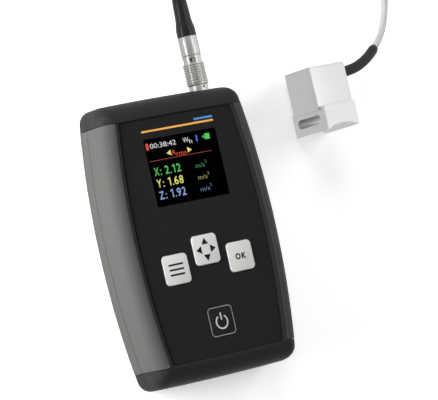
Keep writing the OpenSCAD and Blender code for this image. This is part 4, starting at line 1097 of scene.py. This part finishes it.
class METER_OT_cable(bpy.types.Operator):
    """Sweeps the cable, its coil, the plug's bend relief and the sensor's boot along the route."""

    bl_idname = "meter.cable"
    bl_label = "Cable"

    def execute(self, context):
        c = context.scene.meter_cable
        p = context.scene.meter_plug
        # Polyurethane bend relief, moulded in a polished tool: black and glossy, with long clear streaks.
        polished = {"grain": 1.2, "relief": 0.006, "tint": 0.2, "patches": 12.0, "specular": 0.1}
        coat = {"Coat Weight": 0.7, "Coat Roughness": 0.1}
        urethane = shaded("polyurethane_relief", p.relief_colour, 0.22, **polished, **coat)
        route = smooth_path(METER_ROUTE[: RELIEF_POINTS + 1], 12)
        radii = np.interp(
            run_of(route),
            [0.0, 0.3, 3.4, 5.0, 6.4, 8.0, 9.6, 12.5, 19.5, 26.0, 26.5],
            [5.0, 5.14, 5.14, 4.98, 4.7, 4.4, 4.24, 4.12, 3.8, 3.1, 2.85],
        )
        relief = tube(Shape(), route, radii, 40).piece(
            "moulded_relief", ROOT, "relief_black", urethane, ["bend_relief"], sharp=50.0
        )
        # Heat-shrink sleeve over the cable's end: black, satin, with faint rings where it has drawn in.
        rings = {"grain": 1.6, "relief": 0.12, "tint": 0.2, "specular": 0.3}
        shrink = shaded("heat_shrink_sleeve", c.boot_colour, 0.4, **rings)
        route = smooth_path(SENSOR_ROUTE[: BOOT_POINTS + 3], 10)
        run = run_of(route)
        radii = np.interp(run / run[-1], [0.0, 0.05, 0.5, 0.95, 1.0], [2.85, 2.9, 2.85, 2.75, 2.3])
        boot = tube(Shape(), route, radii, 32).piece(
            "shrunk_boot", ROOT, "relief_black", shrink, ["sensor_boot"], sharp=50.0
        )
        # PVC jacket, extruded: light grey, smooth, with a soft gloss and slight unevenness.
        pvc = shaded("extruded_pvc", c.cable_colour, 0.34, grain=2.2, relief=0.02, tint=0.05, patches=20.0)
        away = smooth_path(METER_ROUTE[RELIEF_POINTS:], 6)
        back = smooth_path(SENSOR_ROUTE[BOOT_POINTS:], 6)[::-1]
        coil = coil_line(c)
        line = np.vstack([away, coil, back])
        radius = c.diameter / MM / 2
        runs = ["meter_lead", "cable_coil", "sensor_lead"]
        cable = tube(Shape(), line, radius, 20).piece(
            "sensor_cable", ROOT, "cable_grey", pvc, runs, sharp=50.0
        )
        return {"FINISHED"}


# Sensor


def edged_box(shape, low, high, edge, line):
    """A box with edges of one radius: level rings of a rounded square, drawn in by
    edge * (1 - cos t) near each face, with one shallow line near the top."""
    size = high - low
    mid = (low + high) / 2
    t = np.linspace(np.pi / 2, 0.0, 6)
    rows = [(edge * (1 - math.cos(a)), -size[1] / 2 + edge * (1 - math.sin(a))) for a in t]
    top = size[1] / 2
    rows += [(0.0, top - 1.15), (line, top - 1.02), (line, top - 0.92), (0.0, top - 0.8)]
    rows += [(edge * (1 - math.cos(a)), top - edge * (1 - math.sin(a))) for a in t[::-1]]
    rings = []
    for inset, y in rows:
        flat = rounded_square(size[0] - 2 * inset, size[2] - 2 * inset, max(edge - inset, 0.02), 5)
        rings.append(np.c_[mid[0] + flat[:, 0], np.full(len(flat), mid[1] + y), mid[2] - flat[:, 1]])
    n = len(rings[0])
    return shape.add(np.vstack(rings), grid_faces(len(rings), n).tolist() + lids(len(rings), n))


class METER_OT_sensor(bpy.types.Operator):
    """Makes the sensor's ground cube with its marked axes, and finishes the handle adapter."""

    bl_idname = "meter.sensor"
    bl_label = "Sensor"

    def execute(self, context):
        s = context.scene.meter_sensor
        # Stainless steel, fine ground and brushed: nearly white, with broad soft reflections.
        brushed = {"metallic": 1.0, "grain": 0.45, "relief": 0.006, "tint": 0.03, "patches": 7.0}
        steel = shaded("ground_stainless", s.steel_colour, 0.36, **brushed)
        # Laser mark: dark oxide on the steel.
        oxide = shaded("laser_marked_steel", s.mark_colour, 0.55, grain=0.4, relief=0.005)
        low, high = edges_of("sensor_housing")
        cube = edged_box(Shape(), low, high, s.edge / MM, s.lid_line / MM)
        cube.piece("sensor_cube", ROOT, "sensor_steel", steel, ["sensor_housing"])
        mid, top = (low + high) / 2, high[1]
        marks = Shape()
        t = 0.012
        # Two arrows at right angles and their letters, drawn flat and stood on the cube's top
        shaft = np.array([(0.0, -0.16), (6.4, -0.16), (6.4, 0.16), (0.0, 0.16)])
        head = np.array([(6.2, -0.75), (8.4, 0.0), (6.2, 0.75)])
        for c, n in ((1, 0), (0, 1)):
            turn = np.array([[c, n], [-n, c]])
            prism(marks, shaft @ turn - 4.2, -t, t)
            prism(marks, head @ turn - 4.2, -t, t)
        prism(marks, circle(20) * 0.7 - 4.2, -t, t)
        letters(marks, "X", 5.0, -5.4, 2.2, 2.6, -t, t)
        letters(marks, "Y", -5.4, 5.0, 2.2, 2.6, -t, t)
        letters(marks, "Z", -7.6, -7.6, 2.0, 2.4, -t, t)
        marks.moved([[-1, 0, 0], [0, 0, 1], [0, 1, 0]], (mid[0], top, mid[2]))
        marks.piece("axis_marks", ROOT, "sensor_steel", oxide)
        for node in ("handle_adapter", "sensor_base"):
            dress(node, steel)
        return {"FINISHED"}


# Inner nodes


class METER_OT_inner(bpy.types.Operator):
    """Gives the film panel, the screws and every inner node its material."""

    bl_idname = "meter.inner"
    bl_label = "Panel and inner pieces"

    def execute(self, context):
        f = context.scene.meter_front
        # Polyester film, back-printed, with a fine velvet texture: charcoal and soft
        dress("front_panel", film_of("velvet_polyester", f.panel_colour))
        metal = {"metallic": 1.0, "grain": 0.4, "relief": 0.01}
        for name, code, roughness, more, nodes in (
            # Cord of nitrile rubber, extruded: dull black
            ("nitrile", "#131314", 0.6, {"grain": 0.8}, ["case_seal"]),
            # Steel with black oxide: dark, with an oily sheen
            ("black_oxide_steel", "#3b3b3e", 0.4, metal, ["case_screws"]),
            # Zinc-plated steel: pale and bluish
            ("zinc_plated_steel", "#b9bcc0", 0.34, metal, ["board_screws", "adapter_screw", "seismic_block"]),
            # Moulded polycarbonate: black, satin
            ("polycarbonate", "#1b1b1c", 0.4, {"grain": 0.7}, ["display_frame"]),
            # Glass and metal tray of the display: cool grey, smooth
            ("display_tray", "#5a6066", 0.3, {"grain": 1.5, "relief": 0.01}, ["display_module"]),
            # Green solder mask over a glass-fibre board: glossy, with a faint weave
            (
                "solder_mask",
                "#1c5631",
                0.32,
                {"relief": 0.02, "tint": 0.12, "patches": 5.0},
                ["main_board", "input_board"],
            ),
            # Silicone mat: soft grey, dull
            ("silicone_rubber", "#8b8e90", 0.55, {"grain": 0.9}, ["keypad_mat"]),
            # Hard gold plating: warm and bright
            (
                "hard_gold",
                "#d2a849",
                0.28,
                {**metal, "relief": 0.004},
                ["key_contacts", "socket_pins", "plug_pins"],
            ),
            # Shrink film round the cells: glossy blue with soft creases
            ("cell_wrap", "#2b69a8", 0.26, {"grain": 4.0, "relief": 0.08, "tint": 0.08}, ["battery_pack"]),
            # Polyurethane foam: grey, dull, with open pores
            (
                "polyurethane_foam",
                "#666768",
                0.9,
                {"grain": 0.7, "relief": 0.12, "tint": 0.15},
                ["battery_pad"],
            ),
            # Glass-filled nylon: black and slightly mottled
            ("glass_filled_nylon", "#18181a", 0.5, {"grain": 0.5, "tint": 0.2}, ["board_header"]),
            # Insulators of PEEK: warm cream
            ("peek", "#d9cfae", 0.42, {"grain": 0.8, "tint": 0.05}, ["socket_insert", "plug_insert"]),
            # Stranded wire in PVC: red, smooth
            ("wire_pvc", "#9c2f27", 0.36, {"grain": 0.9}, ["socket_leads"]),
            # Turned brass: yellow, with a fine soft shine
            ("turned_brass", "#b68d3b", 0.3, {**metal, "relief": 0.006}, ["collet"]),
            # Fired piezo ceramic: matt tan
            (
                "piezo_ceramic",
                "#8c7043",
                0.7,
                {"grain": 0.3, "tint": 0.1},
                ["sensing_element_x", "sensing_element_y", "sensing_element_z"],
            ),
        ):
            look = shaded(name, code, roughness, **more)
            for node in nodes:
                dress(node, look)
        return {"FINISHED"}


# Stage


class METER_OT_stage(bpy.types.Operator):
    """Sets the camera, the floor, the room and the lamps."""

    bl_idname = "meter.stage"
    bl_label = "Stage"

    def execute(self, context):
        s = context.scene.meter_stage
        scene = context.scene
        scene.view_settings.view_transform = "Standard"
        # Towards the camera, its right and its up, from the fit to the meter's outline. The fit's focal
        # length and axis are in pixels, and the aim is moved from the axis to the picture's middle.
        back = np.array([-0.54440981, -0.02900971, 0.8383176])
        right = np.array([0.8213169, -0.22152725, 0.52570355])
        up = np.array([0.17045968, 0.97472258, 0.14442777])
        place = back * s.view_distance + (0.0, -0.64 * MM, 0.6 * MM)
        focal, axis, middle = 2848.36, (177.024, 238.896), (219, 200)
        aim = -back + right * (middle[0] - axis[0]) / focal + up * (axis[1] - middle[1]) / focal
        back = -aim / np.linalg.norm(aim)
        right = right - right.dot(back) * back
        right /= np.linalg.norm(right)
        up = np.cross(back, right)
        lens = bpy.data.cameras.new("camera")
        lens.sensor_width = 36.0
        lens.lens = s.lens
        lens.clip_start, lens.clip_end = 0.05, 20.0
        camera = bpy.data.objects.new("camera", lens)
        turn = Matrix((right, up, back)).transposed().to_4x4()
        camera.matrix_world = Matrix.Translation(place) @ turn
        scene.collection.objects.link(camera)
        scene.camera = camera

        # Painted board, white and matt: it keeps the shadow, and is lifted to white where it is seen
        floor_paint, tree = blank(bpy.data.materials, "matt_white_board")
        path, seen = seen_by_camera(tree)
        lifted = add(tree, "ShaderNodeMath", {0: seen, 1: s.floor_glow}, operation="MULTIPLY")
        glow = add(tree, "ShaderNodeEmission", {"Color": (1, 1, 1, 1), "Strength": lifted.outputs[0]})
        paint = add(tree, "ShaderNodeBsdfDiffuse", {"Color": (0.82, 0.82, 0.82, 1)})
        both = add(tree, "ShaderNodeAddShader", {0: paint.outputs[0], 1: glow.outputs[0]})
        # In metal it is an even light grey, as the lamp's bright spot on it would burn out there
        even = add(tree, "ShaderNodeEmission", {"Color": (1, 1, 1, 1), "Strength": s.floor_reflected})
        board = add(
            tree,
            "ShaderNodeMixShader",
            {0: path.outputs["Is Glossy Ray"], 1: both.outputs[0], 2: even.outputs[0]},
        )
        add(tree, "ShaderNodeOutputMaterial", {"Surface": board.outputs[0]})
        far, below = 4000.0, -0.02
        sheet = [(-far, -far, below), (far, -far, below), (far, far, below), (-far, far, below)]
        Shape().add(sheet, [(0, 1, 2, 3)]).piece("floor", None, "", floor_paint)

        world, tree = blank(bpy.data.worlds, "room")
        path, seen = seen_by_camera(tree)
        # White walls all round in every reflection, but for the dark side where the camera stands
        coords = add(tree, "ShaderNodeTexCoord").outputs["Generated"]
        facing = add(tree, "ShaderNodeVectorMath", {0: coords, 1: back.tolist()}, operation="DOT_PRODUCT")
        walls = add(
            tree,
            "ShaderNodeMapRange",
            {0: facing.outputs["Value"], 1: 0.55, 2: 0.95, 3: s.reflected, 4: 0.42},
            interpolation_type="SMOOTHSTEP",
        )
        glossy = path.outputs["Is Glossy Ray"]
        room = add(tree, "ShaderNodeMapRange", {0: glossy, 3: s.ambient, 4: walls.outputs[0]})
        strength = add(tree, "ShaderNodeMapRange", {0: seen, 3: room.outputs[0], 4: 1.0})
        sky = add(tree, "ShaderNodeBackground", {"Color": (1, 1, 1, 1), "Strength": strength.outputs[0]})
        add(tree, "ShaderNodeOutputWorld", {"Surface": sky.outputs[0]})
        scene.world = world

        # Metal would burn out with the lamps in it, so they light matt surfaces alone, and two dim
        # strips draw the streaks on what is glossy.
        for name, power, where, width, height, glossy in (
            ("side_lamp", s.key_light, (-0.46, 0.09, 0.08), 0.42, 0.13, False),
            ("top_lamp", s.top_light, (-0.1, 0.8, 0.6), 0.6, 0.4, False),
            ("fill_lamp", s.fill_light, (0.8, 0.25, 0.3), 0.6, 0.4, False),
            ("left_strip", s.strip_light, (-0.6, 0.1, 0.07), 0.5, 0.08, True),
            ("right_strip", s.strip_light * 0.7, (0.33, 0.1, 0.75), 0.6, 0.06, True),
        ):
            lamp = bpy.data.lights.new(name, "AREA")
            lamp.shape = "RECTANGLE"
            lamp.energy, lamp.size, lamp.size_y = power, width, height
            holder = bpy.data.objects.new(name, lamp)
            holder.visible_glossy, holder.visible_diffuse = glossy, not glossy
            holder.visible_camera = False
            toward = np.array(where) - (0.0, 0.0, 0.02)
            z = toward / np.linalg.norm(toward)
            x = np.cross((0.0, 0.0, 1.0), z)
            x /= np.linalg.norm(x)
            holder.matrix_world = (
                Matrix.Translation(where) @ Matrix((x, np.cross(z, x), z)).transposed().to_4x4()
            )
            scene.collection.objects.link(holder)
        return {"FINISHED"}


# Panel and registration

STEPS = (
    METER_OT_stage,
    METER_OT_shells,
    METER_OT_grips,
    METER_OT_keys,
    METER_OT_display,
    METER_OT_plug,
    METER_OT_sensor,
    METER_OT_cable,
    METER_OT_inner,
)


class METER_PT_steps(bpy.types.Panel):
    """Lists the steps in the sidebar."""

    bl_idname = "METER_PT_steps"
    bl_label = "Vibration meter"
    bl_space_type = "VIEW_3D"
    bl_region_type = "UI"
    bl_category = "Meter"

    def draw(self, context):
        for step in STEPS:
            self.layout.operator(step.bl_idname)


SETTINGS = {
    "meter_housing": HousingSettings,
    "meter_front": FrontSettings,
    "meter_plug": PlugSettings,
    "meter_cable": CableSettings,
    "meter_sensor": SensorSettings,
    "meter_stage": StageSettings,
}


def register():
    for group in SETTINGS.values():
        bpy.utils.register_class(group)
    for step in STEPS:
        bpy.utils.register_class(step)
    bpy.utils.register_class(METER_PT_steps)
    for name, group in SETTINGS.items():
        setattr(bpy.types.Scene, name, PointerProperty(type=group))


def unregister():
    for name in SETTINGS:
        delattr(bpy.types.Scene, name)
    for made in (METER_PT_steps, *reversed(STEPS), *reversed(SETTINGS.values())):
        bpy.utils.unregister_class(made)


def main():
    register()
    for step in STEPS:
        operator = step.bl_idname.split(".")[1]
        if getattr(bpy.ops.meter, operator)() != {"FINISHED"}:
            raise RuntimeError(f"{step.bl_label} could not finish")


if __name__ == "__main__":
    main()
